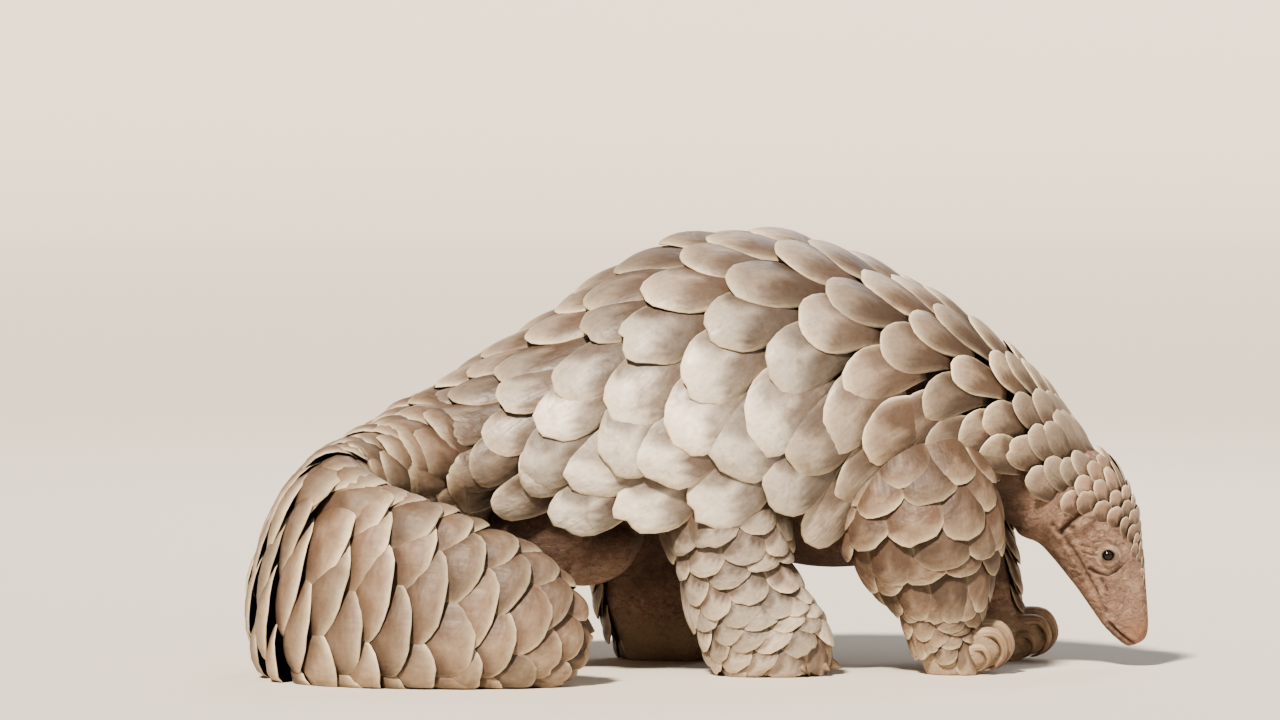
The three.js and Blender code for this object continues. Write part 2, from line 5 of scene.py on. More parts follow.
import bmesh
import bpy
import numpy as np
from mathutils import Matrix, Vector


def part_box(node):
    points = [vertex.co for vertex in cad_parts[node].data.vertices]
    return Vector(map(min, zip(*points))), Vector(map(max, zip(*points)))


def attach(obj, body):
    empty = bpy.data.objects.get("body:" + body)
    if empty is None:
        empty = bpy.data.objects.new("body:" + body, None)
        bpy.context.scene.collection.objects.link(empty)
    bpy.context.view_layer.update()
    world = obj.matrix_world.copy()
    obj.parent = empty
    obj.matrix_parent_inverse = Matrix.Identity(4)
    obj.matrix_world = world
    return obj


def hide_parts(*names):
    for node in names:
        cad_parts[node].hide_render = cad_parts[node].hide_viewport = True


bl_info = {
    "name": "Ground pangolin",
    "version": (1, 0, 0),
    "blender": (4, 5, 0),
    "location": "3D View > Sidebar > Pangolin",
    "description": "Builds the skin, scales, claws and eyes of a walking ground pangolin",
    "category": "Object",
}

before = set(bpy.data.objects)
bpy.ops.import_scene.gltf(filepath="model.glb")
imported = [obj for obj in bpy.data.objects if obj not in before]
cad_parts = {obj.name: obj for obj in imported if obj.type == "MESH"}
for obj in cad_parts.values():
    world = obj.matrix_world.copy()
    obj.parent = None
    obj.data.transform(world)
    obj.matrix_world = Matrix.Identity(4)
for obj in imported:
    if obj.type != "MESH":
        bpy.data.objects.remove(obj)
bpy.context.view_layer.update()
MM = 0.001
BODY_NAME = "root"
FLESH = [
    "head", "neck", "shoulders", "back", "hips", "tail_base", "tail_bend", "tail_side", "tail_end",
    "ear_right", "ear_left",
]
LEG_NAMES = ["foreleg_right", "foreleg_left", "hindleg_right", "hindleg_left"]

# Model coordinates are millimetres with the animal facing +X; the frame's own origin is found from its eye.
EYE_AT = np.array([236.5, -20.8, 66.0])
EYE_RADIUS = 4.2
eye_low, eye_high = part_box("eye_right")
SHIFT = (np.array(eye_low) + np.array(eye_high)) / 2 - EYE_AT * MM

# Stations of the body: middle, direction of the back, half width, reach above and below.
BODY_STATIONS = [
    ((226, 0, 92), (0.62, 0, 0.78), 31, 31, 31),
    ((205, 0, 104), (0.53, 0, 0.85), 35, 34, 35),
    ((162, 0, 137), (0.36, 0, 0.93), 58, 48, 50),
    ((111, 0, 154), (0.2, 0, 0.98), 80, 68, 70),
    ((53, 0, 157), (0.02, 0, 1), 95, 88, 92),
    ((-6, 0, 150), (-0.15, 0, 0.99), 100, 88, 88),
    ((-60, 0, 138), (-0.34, 0, 0.94), 94, 68, 70),
    ((-110, -1, 127), (-0.46, 0, 0.89), 80, 48, 48),
    ((-154, -8, 113), (-0.56, 0.04, 0.83), 70, 34, 34),
    ((-193, -28, 94), (-0.72, 0.1, 0.68), 65, 26, 27),
    ((-218, -60, 74), (-0.9, 0.04, 0.42), 62, 22, 23),
    ((-220, -100, 60), (-0.9, -0.38, 0.2), 59, 20, 21),
    ((-196, -134, 52), (-0.62, -0.76, 0.2), 54, 19, 19),
    ((-152, -152, 46), (-0.18, -0.94, 0.26), 48, 18, 17),
    ((-110, -154, 38), (0.02, -0.95, 0.3), 39, 16, 14),
    ((-82, -149, 26), (0.06, -0.94, 0.3), 26, 12, 10),
    ((-69, -146, 20), (0.06, -0.94, 0.3), 10, 5, 5),
]
HEAD_STATIONS = [
    ((203, 0, 105), (0.56, 0, 0.83), 34, 33, 33),
    ((216, 0, 96), (0.68, 0, 0.73), 33, 32, 31),
    ((227, 0, 79), (0.84, 0, 0.54), 28, 29, 27),
    ((236, 0, 61), (0.93, 0, 0.36), 21, 23, 23),
    ((243, 0, 43), (0.95, 0, 0.3), 15, 18, 18),
    ((249, 0, 28), (0.95, 0, 0.3), 11.5, 13, 14),
    ((253, 0, 18), (0.93, 0, 0.36), 9.5, 9, 9),
    ((255, 0, 13.5), (0.9, 0, 0.42), 6, 5, 5),
]
FORWARD = (1, 0, 0)
# Stations of a leg from the top down: its middle's x, y and z, half width, reach ahead and behind.
LEG_STATIONS = {
    "foreleg_right": [
        (118, -34, 150, 30, 36, 38), (122, -54, 112, 30, 44, 44), (129, -60, 84, 27, 42, 44),
        (134, -58, 62, 24, 35, 36), (138, -56, 42, 21, 25, 25), (139, -55, 24, 18, 19, 18),
        (143, -55, 10, 18, 17, 16), (145, -55, -2, 17, 15, 14),
    ],
    "foreleg_left": [
        (122, 34, 150, 30, 36, 38), (132, 54, 112, 30, 40, 42), (146, 58, 84, 26, 34, 38),
        (158, 56, 64, 22, 26, 27), (167, 54, 46, 19, 20, 20), (172, 53, 28, 18, 17, 17),
        (175, 53, 12, 18, 17, 16), (176, 53, -2, 17, 15, 14),
    ],
    "hindleg_right": [
        (-4, -44, 140, 40, 48, 50), (6, -58, 108, 33, 42, 42), (16, -62, 78, 28, 33, 31),
        (21, -62, 56, 26, 30, 29), (28, -62, 36, 26, 31, 30), (36, -62, 19, 27, 35, 31),
        (43, -62, 7, 26, 34, 29), (45, -62, -2, 22, 29, 24),
    ],
}
LEFT_HIND_BEHIND = (22, 34, 46, 52, 56, 56, 56, 56)  # of the right hind leg, station by station
LEG_STATIONS["hindleg_left"] = [
    (x - behind, -y, *rest) for (x, y, *rest), behind in zip(LEG_STATIONS["hindleg_right"], LEFT_HIND_BEHIND)
]
SECTION_POWER = 0.92  # below 1 squares a cross-section slightly
NECK_PLACE = 0.7  # where the neck meets the head, in stations
TAIL_PLACE = 7.2  # where the tail leaves the hips
TAIL_BROAD_PLACE = 9.3  # beyond here the tail's scales are broad

# Claws as in the frame: how far out from the leg's line, root, reach, drop and thickness.
FORE_CLAWS = [
    (15, (8, 14), 12, 12, 3), (9.5, (10, 22), 19, 20.5, 4.2), (0, (10, 25), 23, 23.5, 5),
    (-9.5, (10, 22), 19, 20.5, 4.2), (-15, (8, 14), 12, 12, 3),
]
HIND_BEARINGS = (-58, -28, 0, 28, 58)
HIND_CLAW_PLACE = 6.1  # the leg's station that the hind claws leave
HIND_CLAW_LONG = 10
HIND_CLAW_THICK = 5.2
HIND_CLAW_HEIGHT = 6
HIND_CLAW_SUNK = 6
HIND_CLAW_DROP = 3.2


def length_property(name, description, default, smallest):
    return bpy.props.FloatProperty(
        name=name, description=description, default=default, min=smallest, unit="LENGTH")


def colour_property(name, description, default):
    return bpy.props.FloatVectorProperty(
        name=name, description=description, default=default, subtype="COLOR", size=3, min=0, max=1)


class PangolinSizes(bpy.types.PropertyGroup):
    """Sizes that a user would change."""

    skin_voxel: length_property(
        "Skin detail", "Size of the skin's cells before the head is refined", 0.002, 0.001)
    skin_depth: length_property("Skin depth", "How far the skin lies under the scales' frame", 0.006, 0)
    trunk_columns: bpy.props.IntProperty(
        name="Trunk columns", description="Scales round the trunk", default=14, min=8)
    trunk_step: length_property("Trunk step", "Distance between staggered rows on the flank", 0.0205, 0.005)
    tail_columns: bpy.props.IntProperty(
        name="Tail columns", description="Scales round the tail", default=6, min=5)
    scale_lift: length_property("Scale lift", "How far a flank scale's tip stands off the skin", 0.013, 0)
    scale_thickness: length_property(
        "Scale thickness", "Thickness of a flank scale at its middle", 0.0019, 0.0005)
    camera_distance: length_property("Camera distance", "From the camera to the animal's middle", 4.5, 0.5)
    camera_lens: bpy.props.FloatProperty(
        name="Camera lens", description="Focal length in millimetres on a 36 mm film",
        default=217.5, min=20)


class PangolinColours(bpy.types.PropertyGroup):
    """Colours that a user would change, as linear values."""

    # Dark horn for the grooves and the root's own colour, also painted shade at the roots and under the edges
    # of overlying scales.
    dark_horn_and_shade: colour_property("Scale root", "Horn near the root of a scale", (0.075, 0.04, 0.024))
    scale_field: colour_property("Scale field", "Horn over most of a scale", (0.25, 0.178, 0.128))
    scale_cool: colour_property("Scale grey", "Greyer patches of horn", (0.225, 0.18, 0.148))
    # Pale free edge of the scales, partly worn horn and partly a painted highlight; also the pale of the
    # skin's ridges and lids.
    scale_rim: colour_property("Scale rim", "Worn horn along the free edge", (0.78, 0.64, 0.46))
    # Pale flank horn, partly bleached and partly a painted sunlit highlight, strongest towards each scale's
    # free end.
    scale_pale: colour_property("Pale scale", "Bleached horn low on the flanks", (0.95, 0.86, 0.74))
    skin: colour_property("Skin", "Bare skin of the face and belly", (0.42, 0.26, 0.19))
    earth: colour_property("Earth stain", "Horn stained by dry earth, on tail and legs", (0.17, 0.104, 0.064))
    # Painted shade at the bottom of creases, between the skin's cells, in the head's hollows and under the
    # belly.
    painted_fold_shade: colour_property("Skin folds", "The bottom of creases", (0.09, 0.05, 0.035))
    nose: colour_property("Nose", "The tip of the snout", (0.36, 0.18, 0.11))
    dust: colour_property("Dust", "Dry earth on the feet", (0.5, 0.37, 0.25))
    claw: colour_property("Claw", "Horn of the claws", (0.24, 0.145, 0.09))
    eye: colour_property("Eye", "The eye's surface", (0.008, 0.005, 0.004))
    floor: colour_property("Floor", "The studio floor", (0.72, 0.66, 0.58))


def sizes():
    return bpy.context.scene.pangolin_sizes


def colours():
    return bpy.context.scene.pangolin_colours


def smooth_step(low, high, value):
    share = np.clip((np.asarray(value, float) - low) / (high - low), 0, 1)
    return share * share * (3 - 2 * share)


def mix(a, b, share):
    return a + (b - a) * np.clip(share, 0, 1)


def near(distance, width):
    """1 at no distance, falling to nothing a few widths away."""
    return np.exp(-((distance / width) ** 2))


def unit(vectors):
    return vectors / np.maximum(np.linalg.norm(vectors, axis=-1, keepdims=True), 1e-9)


def off_back(angle):
    """Size of an angle from the back, from 0 to pi under the belly."""
    return np.abs(np.arctan2(np.sin(angle), np.cos(angle)))


class Loft:
    """A surface through stations: angle 0 is the back, or the front of a leg."""

    def __init__(self, stations):
        self.rows = np.array([[*at, *up, wide, top, bottom] for at, up, wide, top, bottom in stations], float)
        self.last = len(stations) - 1
        self.table_places = np.linspace(0, self.last, 40 * self.last + 1)
        middles = self.spline(self.table_places)[:, :3]
        steps = np.linalg.norm(np.diff(middles, axis=0), axis=1)
        self.table_lengths = np.concatenate([[0], np.cumsum(steps)])

    def spline(self, place):
        """The stations' values at a place between them, on a smooth curve."""
        place = np.asarray(place, float)
        i = np.clip(np.floor(place).astype(int), 0, self.last - 1)
        s = (place - i)[..., None]
        a, b, c, d = (self.rows[np.clip(i + k, 0, self.last)] for k in (-1, 0, 1, 2))
        slope_in = (c - a) / 2
        slope_out = (d - b) / 2
        rise = c - b
        bend = 3 * rise - 2 * slope_in - slope_out
        twist = slope_in + slope_out - 2 * rise
        return b + s * (slope_in + s * (bend + s * twist))

    def section(self, place):
        """Middle, up and right vectors, half width and reach up and down at a place."""
        row = self.spline(place)
        along = unit(self.spline(place + 0.01)[..., :3] - self.spline(place - 0.01)[..., :3])
        up = row[..., 3:6]
        up = unit(up - along * np.sum(up * along, axis=-1, keepdims=True))
        right = np.cross(up, along)
        return row[..., :3], up, right, row[..., 6], row[..., 7], row[..., 8]

    def end(self):
        """The middle of the last station."""
        return self.section(np.array(float(self.last)))[0]

    def point(self, place, angle):
        middle, up, right, wide, top, bottom = self.section(place)
        c = np.cos(angle)
        d = np.sin(angle)
        high = np.sign(c) * np.abs(c) ** SECTION_POWER * np.where(c > 0, top, bottom)
        across = np.sign(d) * np.abs(d) ** SECTION_POWER * wide
        return middle + up * high[..., None] + right * across[..., None]

    def axes(self, place, angle):
        """Vectors along and round the surface per unit of place and angle, and the outward normal."""
        h = 0.02
        along = (self.point(place + h, angle) - self.point(place - h, angle)) / (2 * h)
        round_way = (self.point(place, angle + h) - self.point(place, angle - h)) / (2 * h)
        normal = unit(np.cross(along, round_way))
        outward = self.point(place, angle) - self.section(place)[0]
        turned = np.sum(normal * outward, axis=-1, keepdims=True) < 0
        return along, round_way, np.where(turned, -normal, normal)

    def length_at(self, place):
        return np.interp(place, self.table_places, self.table_lengths)

    def place_at(self, length):
        return np.interp(length, self.table_lengths, self.table_places)


BODY = Loft(BODY_STATIONS)
HEAD = Loft(HEAD_STATIONS)
LEGS = {
    name: Loft([((x, y, z), FORWARD, *reaches) for x, y, z, *reaches in LEG_STATIONS[name]])
    for name in LEG_NAMES
}


def to_scene(points):
    return np.asarray(points) * MM + SHIFT


def link(name, data):
    made = bpy.data.objects.new(name, data)
    bpy.context.scene.collection.objects.link(made)
    return made


def new_mesh_object(name, vertices, faces, material):
    mesh = bpy.data.meshes.new(name)
    vertices = np.asarray(vertices, np.float32)
    faces = np.asarray(faces, np.int32)
    mesh.vertices.add(len(vertices))
    mesh.vertices.foreach_set("co", vertices.ravel())
    mesh.loops.add(faces.size)
    mesh.loops.foreach_set("vertex_index", faces.ravel())
    mesh.polygons.add(len(faces))
    mesh.polygons.foreach_set("loop_start", np.arange(0, faces.size, faces.shape[1], dtype=np.int32))
    mesh.update(calc_edges=True)
    mesh.validate()
    mesh.shade_smooth()
    if material:
        mesh.materials.append(material)
    return link(name, mesh)


def add_values(mesh, name, values):
    layer = mesh.attributes.new(name, "FLOAT", "POINT")
    layer.data.foreach_set("value", np.asarray(values, np.float32))


def add_uv(mesh, name, per_vertex):
    layer = mesh.uv_layers.new(name=name)
    index = np.empty(len(mesh.loops), np.int32)
    mesh.loops.foreach_get("vertex_index", index)
    layer.data.foreach_set("uv", np.asarray(per_vertex, np.float32)[index].ravel())


def closed_grid(points):
    """Vertices and faces of a closed tube from rings of points, capped at both ends."""
    rings, around, _ = points.shape
    vertices = list(points.reshape(-1, 3))
    first = len(vertices)
    vertices += [points[0].mean(axis=0), points[-1].mean(axis=0)]
    triangles = []
    for k in range(around):
        following = (k + 1) % around
        triangles.append((first, following, k))
        triangles.append((first + 1, (rings - 1) * around + k, (rings - 1) * around + following))
        for i in range(rings - 1):
            a = i * around
            b = a + around
            triangles.append((a + k, a + following, b + k))
            triangles.append((a + following, b + following, b + k))
    return np.array(vertices), np.array(triangles)


# Materials


class Graph:
    """A material's nodes, with a colour and a relief that are built up in layers."""

    def __init__(self, name):
        self.material = bpy.data.materials.new(name)
        self.material.use_nodes = True
        self.nodes = self.material.node_tree.nodes
        self.links = self.material.node_tree.links
        self.colour = None
        self.relief = None

    def node(self, kind, values=None, **settings):
        made = self.nodes.new(kind)
        for key, value in settings.items():
            setattr(made, key, value)
        for key, value in (values or {}).items():
            self.put(made.inputs[key], value)
        return made

    def put(self, socket, value):
        if isinstance(value, bpy.types.NodeSocket):
            self.links.new(value, socket)
        elif socket.type == "RGBA":
            socket.default_value = (*value, 1)
        else:
            socket.default_value = value

    def value_of(self, name):
        return self.node("ShaderNodeAttribute", attribute_name=name).outputs["Fac"]

    def uv(self, name):
        return self.node("ShaderNodeUVMap", uv_map=name).outputs["UV"]

    def place(self):
        return self.node("ShaderNodeTexCoord").outputs["Object"]

    def part_of(self, vector, axis):
        return self.node("ShaderNodeSeparateXYZ", {"Vector": vector}).outputs[axis]

    def math(self, operation, a, b=0.0):
        made = self.node("ShaderNodeMath", operation=operation)
        self.put(made.inputs[0], a)
        self.put(made.inputs[1], b)
        return made.outputs[0]

    def times(self, a, b):
        return self.math("MULTIPLY", a, b)

    def remap(self, value, low, high, to_low=0.0, to_high=1.0):
        return self.node("ShaderNodeMapRange", {
            "Value": value, "From Min": low, "From Max": high, "To Min": to_low, "To Max": to_high,
        }).outputs[0]

    def stretched(self, vector, scale, offset=None):
        made = self.node("ShaderNodeMapping", {"Vector": vector, "Scale": scale})
        if offset is not None:
            self.put(made.inputs["Location"], self.alike(offset))
        return made.outputs[0]

    def alike(self, value):
        """A vector whose three parts are one value."""
        return self.node("ShaderNodeCombineXYZ", {"X": value, "Y": value, "Z": value}).outputs[0]

    def noise(self, vector, scale, detail=4.0, roughness=0.55, distortion=0.0):
        return self.node("ShaderNodeTexNoise", {
            "Vector": vector, "Scale": scale, "Detail": detail, "Roughness": roughness,
            "Distortion": distortion}).outputs["Fac"]

    def cell_edges(self, vector, scale):
        return self.node(
            "ShaderNodeTexVoronoi", {"Vector": vector, "Scale": scale}, feature="DISTANCE_TO_EDGE"
        ).outputs["Distance"]

    def blend(self, share, a, b, how="MIX"):
        made = self.node("ShaderNodeMix", data_type="RGBA", blend_type=how)
        self.put(made.inputs[0], share)
        self.put(made.inputs[6], a)
        self.put(made.inputs[7], b)
        return made.outputs[2]

    def paint(self, share, colour, how="MIX"):
        """Adds a layer of colour over those before it."""
        self.colour = self.blend(share, self.colour, colour, how)

    def emboss(self, height, strength, distance):
        """Adds a layer of relief to those before it."""
        made = self.node("ShaderNodeBump", {"Height": height, "Strength": strength, "Distance": distance})
        if self.relief is not None:
            self.put(made.inputs["Normal"], self.relief)
        self.relief = made.outputs[0]

    def finish(self, **values):
        """The material, with its colour, its relief and the given values in the shader's sockets."""
        sockets = self.nodes["Principled BSDF"].inputs
        self.put(sockets["Base Color"], self.colour)
        if self.relief is not None:
            self.put(sockets["Normal"], self.relief)
        for key, value in values.items():
            self.put(sockets[key.replace("_", " ")], value)
        return self.material


def scale_material():
    """Horn of the scales: a dark root that is partly painted shade, fine grooves along it, growth lines
    across it, a pale rim that is partly worn horn and partly a painted highlight, and painted shade under the
    edges over it and on its lower face.
    """
    tint = colours()
    g = Graph("scale_horn")
    card = g.uv("ScaleUV")
    along = g.part_of(card, "Y")
    tone = g.value_of("tone")
    earth = g.value_of("earth")
    seed = g.times(tone, 37.0)
    grooves = g.noise(g.stretched(card, (26, 1.3, 1), seed), 1.0, 3.0, 0.6)
    wavy = g.noise(g.stretched(card, (5, 5, 1), seed), 1.0, 2.0)
    growth_lines = g.math("SINE", g.math("ADD", g.times(along, 58.0), g.times(wavy, 16.0)))
    dirt = g.noise(g.place(), 34.0, 6.0, 0.62)
    grain = g.noise(g.place(), 420.0, 3.0, 0.6)
    stain = g.noise(g.place(), 75.0, 5.0, 0.7, 0.6)
    patches = g.noise(g.place(), 9.0, 2.0)
    low_down = g.remap(g.part_of(g.place(), "Z"), 0.04, 0.004, 0, 0.7)
    # Paler towards the free end: partly bleaching, partly a painted highlight.
    bleach_and_highlight = g.times(g.remap(wavy, 0.25, 0.7, 0.65, 1.0), g.remap(along, 0.4, 0.8, 0.5, 1.0))

    # Darker towards the root: partly the horn's own colour, partly painted shade from the scale lying over
    # the root.
    g.colour = g.blend(g.remap(along, 0.2, 0.65), tint.dark_horn_and_shade, tint.scale_field)
    g.paint(g.remap(patches, 0.42, 0.6, 0.0, 0.55), tint.scale_cool)
    g.paint(g.times(g.remap(dirt, 0.42, 0.72), 0.5), tint.dust)
    g.paint(g.remap(grooves, 0.35, 0.7, 0.0, 0.28), tint.dark_horn_and_shade)
    # Pale flank scales: partly bleached horn, partly a painted sunlit highlight.
    g.paint(g.times(g.value_of("pale"), bleach_and_highlight), tint.scale_pale)
    g.paint(g.remap(stain, 0.5, 0.72, 0.0, 0.5), tint.earth)
    g.paint(g.times(g.value_of("brown"), 0.8), tint.skin)
    g.paint(g.times(earth, g.remap(wavy, 0.3, 0.65, 0.5, 1.0)), tint.earth)
    g.paint(g.times(low_down, dirt), tint.dust)
    # Painted shade under the edges of the scales that lie over this one, broken up by noise.
    g.paint(g.times(g.value_of("crevice_shade"), g.remap(dirt, 0.3, 0.65, 0.45, 0.85)), tint.dark_horn_and_shade)
    # Pale rim along the free edge, partly worn horn and partly a painted highlight, broken up by noise.
    g.paint(g.times(g.value_of("rim"), g.remap(dirt, 0.3, 0.6, 0.5, 1.0)), tint.scale_rim)
    shade = g.times(g.remap(tone, 0, 1, 0.7, 1.18), g.remap(grain, 0.3, 0.7, 0.9, 1.07))
    # Painted shade: each scale's lower face is darkened to half.
    shade = g.times(shade, g.remap(g.value_of("under"), 0, 1, 1.0, 0.5))
    g.paint(1.0, g.alike(shade), "MULTIPLY")

    g.emboss(grooves, 0.28, 0.0007)
    g.emboss(growth_lines, 0.1, 0.0002)
    g.emboss(wavy, 0.5, 0.002)
    g.emboss(grain, 0.25, 0.0004)
    rough = g.math("ADD", g.remap(grooves, 0.3, 0.7, 0.38, 0.56), g.times(earth, 0.1))
    return g.finish(Roughness=rough, Specular_IOR_Level=0.45)


def skin_material():
    """Bare skin: fine cells and soft creases with painted shade in its folds and hollows, dusty on the feet,
    warm at the nose.
    """
    tint = colours()
    g = Graph("bare_skin")
    place = g.place()
    cells = g.cell_edges(place, 620.0)
    creases = g.noise(g.stretched(place, (1, 0.7, 1.4)), 210.0, 7.0, 0.72, 0.9)
    blotch = g.noise(place, 55.0, 5.0, 0.6)
    fine = g.noise(place, 1300.0, 3.0)

    g.colour = g.blend(g.remap(blotch, 0.35, 0.65), tint.skin, tint.skin * 0.66)
    g.paint(g.remap(creases, 0.5, 0.72, 0.0, 0.5), tint.scale_rim)
    # Painted shade in the hollows of the creases.
    g.paint(g.remap(creases, 0.47, 0.33, 0.0, 0.7), tint.painted_fold_shade)
    g.paint(g.times(g.value_of("lid"), 0.3), tint.scale_rim)
    g.paint(g.times(g.value_of("nose"), 0.8), tint.nose)
    g.paint(g.times(g.value_of("dust"), g.remap(blotch, 0.25, 0.6, 0.45, 1.0)), tint.dust)
    # Painted shade in the lines between the skin's cells.
    g.paint(g.remap(cells, 0.0, 0.1, 0.25, 0.0), tint.painted_fold_shade)
    # Painted shade: creases, nostrils, ear and eyes of the head, under the jaw and under the belly.
    g.paint(g.value_of("painted_shade"), tint.painted_fold_shade)

    g.emboss(creases, 0.95, 0.0028)
    g.emboss(g.remap(cells, 0.0, 0.25), 0.3, 0.0004)
    g.emboss(fine, 0.2, 0.0003)
    return g.finish(Roughness=g.remap(blotch, 0.3, 0.7, 0.5, 0.72), Specular_IOR_Level=0.4)


def claw_material():
    """Claw horn with grooves along it and earth towards its root."""
    tint = colours()
    g = Graph("claw_horn")
    card = g.uv("ScaleUV")
    grooves = g.noise(g.stretched(card, (22, 1.2, 1)), 1.0, 3.0, 0.6)
    dirt = g.noise(g.place(), 160.0, 5.0, 0.6)
    g.colour = g.blend(g.remap(g.part_of(card, "Y"), -0.2, 0.8), tint.dust, tint.claw)
    g.paint(g.remap(grooves, 0.4, 0.7, 0.0, 0.75), tint.dark_horn_and_shade)
    g.paint(g.remap(dirt, 0.5, 0.75, 0.0, 0.6), tint.dust)
    g.emboss(grooves, 0.5, 0.0007)
    g.emboss(dirt, 0.25, 0.0004)
    return g.finish(Roughness=g.remap(dirt, 0.3, 0.7, 0.4, 0.65))


def eye_material():
    """A wet, nearly black eye."""
    tint = colours()
    g = Graph("eye_wet")
    depth = g.noise(g.place(), 700.0, 2.0)
    g.colour = g.blend(g.remap(depth, 0.3, 0.7, 0.0, 0.5), tint.eye, tint.eye * 3)
    return g.finish(Roughness=0.1, Specular_IOR_Level=0.3, Coat_Weight=0.25, Coat_Roughness=0.05)


def floor_material():
    """A pale matt floor."""
    tint = colours()
    g = Graph("studio_floor")
    grain = g.noise(g.place(), 240.0, 4.0)
    g.colour = g.blend(g.remap(grain, 0.3, 0.7), tint.floor, tint.floor * 0.96)
    g.emboss(grain, 0.1, 0.0003)
    return g.finish(Roughness=0.85)


# Scales

FLANK_LIMIT = 1.84  # how far down the flank the scales are rooted, from the back, in radians
SHOULDER_LIMIT = 2.3
NAPE_STEP = 8.5  # between staggered rows at the nape
TRUNK_LEAN = 26.0  # how far the rows run forward as they go down the flank
SWEEP = 0.62  # how far the flank's scales turn down from the back's line, in radians
HANG = 26.0  # pull towards the ground on what reaches past the flank's limit
SCALE_SEED = 11
PALE_SEED = 5
ALONG_STEPS = np.array([0, 0.12, 0.25, 0.38, 0.5, 0.61, 0.71, 0.8, 0.88, 0.945, 0.98, 1.0])
ACROSS_STEPS = np.array([-1, -0.965, -0.88, -0.72, -0.5, -0.25, 0, 0.25, 0.5, 0.72, 0.88, 0.965, 1])
MIDDLE_STEP = 6  # the step of ACROSS_STEPS on a scale's line
SPEED_AHEAD = 0.15  # stations past a root, where the surface's stretch is read
FLOOR_CLEARANCE = 0.0003
TRUNK_BAKE = ((0, 0), (0.45, 1))  # corner and size of each kind of piece in the bake's map
CROWN_BAKE = ((0.46, 0), (0.12, 0.2))
LEG_BAKE = ((0.46, 0.25), (0.12, 0.75))
LEG_BAKE_STEP = 0.13
BAKE_PATCH = 0.003  # a scale's width in the bake's map
CREVICE_SHADE_WIDTH = 0.04  # width of the painted shade under an overlying edge, as a share of a scale's length
LEG_COLUMNS = 9
LEG_COVER = 1.75  # how far round a leg its scales reach from its outer line, in radians
CROWN_COLUMNS = 18


def on_surface(loft, place, angle, limit):
    """Points and normals of a loft; past limit the surface runs on straight and turns to hang down."""
    held = np.clip(angle, -limit, limit)
    place = np.clip(place, 0, loft.last)
    points = loft.point(place, held)
    _, round_way, normal = loft.axes(place, held)
    over = (angle - held)[..., None]
    hanging = unit(round_way * np.sign(over) + np.array([0, 0, -HANG]))
    speed = np.linalg.norm(round_way, axis=-1, keepdims=True)
    return points + hanging * np.abs(over) * speed, normal


def scale_reach(across, notches, ragged, phase):
    """How far each strip along a scale reaches, as a share: a round end, worn and sometimes notched."""
    reach = 0.52 + 0.48 * np.clip(1 - np.abs(across) ** 2.5, 0, 1) ** 0.56
    wear = np.sin(across * 9 + phase) * 0.5 + np.sin(across * 21 + phase * 3.1) * 0.3
    reach = reach - ragged * (0.5 + wear) * 0.05
    for depth, middle in notches:
        reach = reach - depth * near(across - middle, 0.17)
    return reach


def crevice_shade_strength(reached, across, stretch, breadth):
    """How near a point of a scale is to the edges of the three scales that lie over it, from 0 to 1, as the
    strength of painted shade there.
    """
    nearest = 0
    for rows, columns in ((1, 0.5), (1, -0.5), (2, 0)):
        over = across + 2 * columns / breadth
        past = np.maximum(reached + rows / stretch - scale_reach(np.clip(over, -1, 1), [], 0, 0), 0)
        nearest = np.maximum(nearest, np.exp(-past / CREVICE_SHADE_WIDTH) * (np.abs(over) < 1))
    return nearest


def scale_faces(count, rows, columns):
    """Faces of that many scales, each an upper and a lower grid of points with a wall round them."""
    per = rows * columns
    grid = np.arange(per).reshape(rows, columns)
    corners = [grid[:-1, :-1], grid[:-1, 1:], grid[1:, 1:], grid[1:, :-1]]
    quads = np.stack(corners, axis=-1).reshape(-1, 4)
    rim_path = np.concatenate([grid[0, :-1], grid[:-1, -1], grid[-1, :0:-1], grid[:0:-1, 0]])
    following = np.roll(rim_path, -1)
    wall = np.stack([following, rim_path, rim_path + per, following + per], axis=-1)
    one = np.concatenate([quads, quads[:, ::-1] + per, wall])
    return (one[None] + (np.arange(count) * 2 * per)[:, None, None]).reshape(-1, 4)


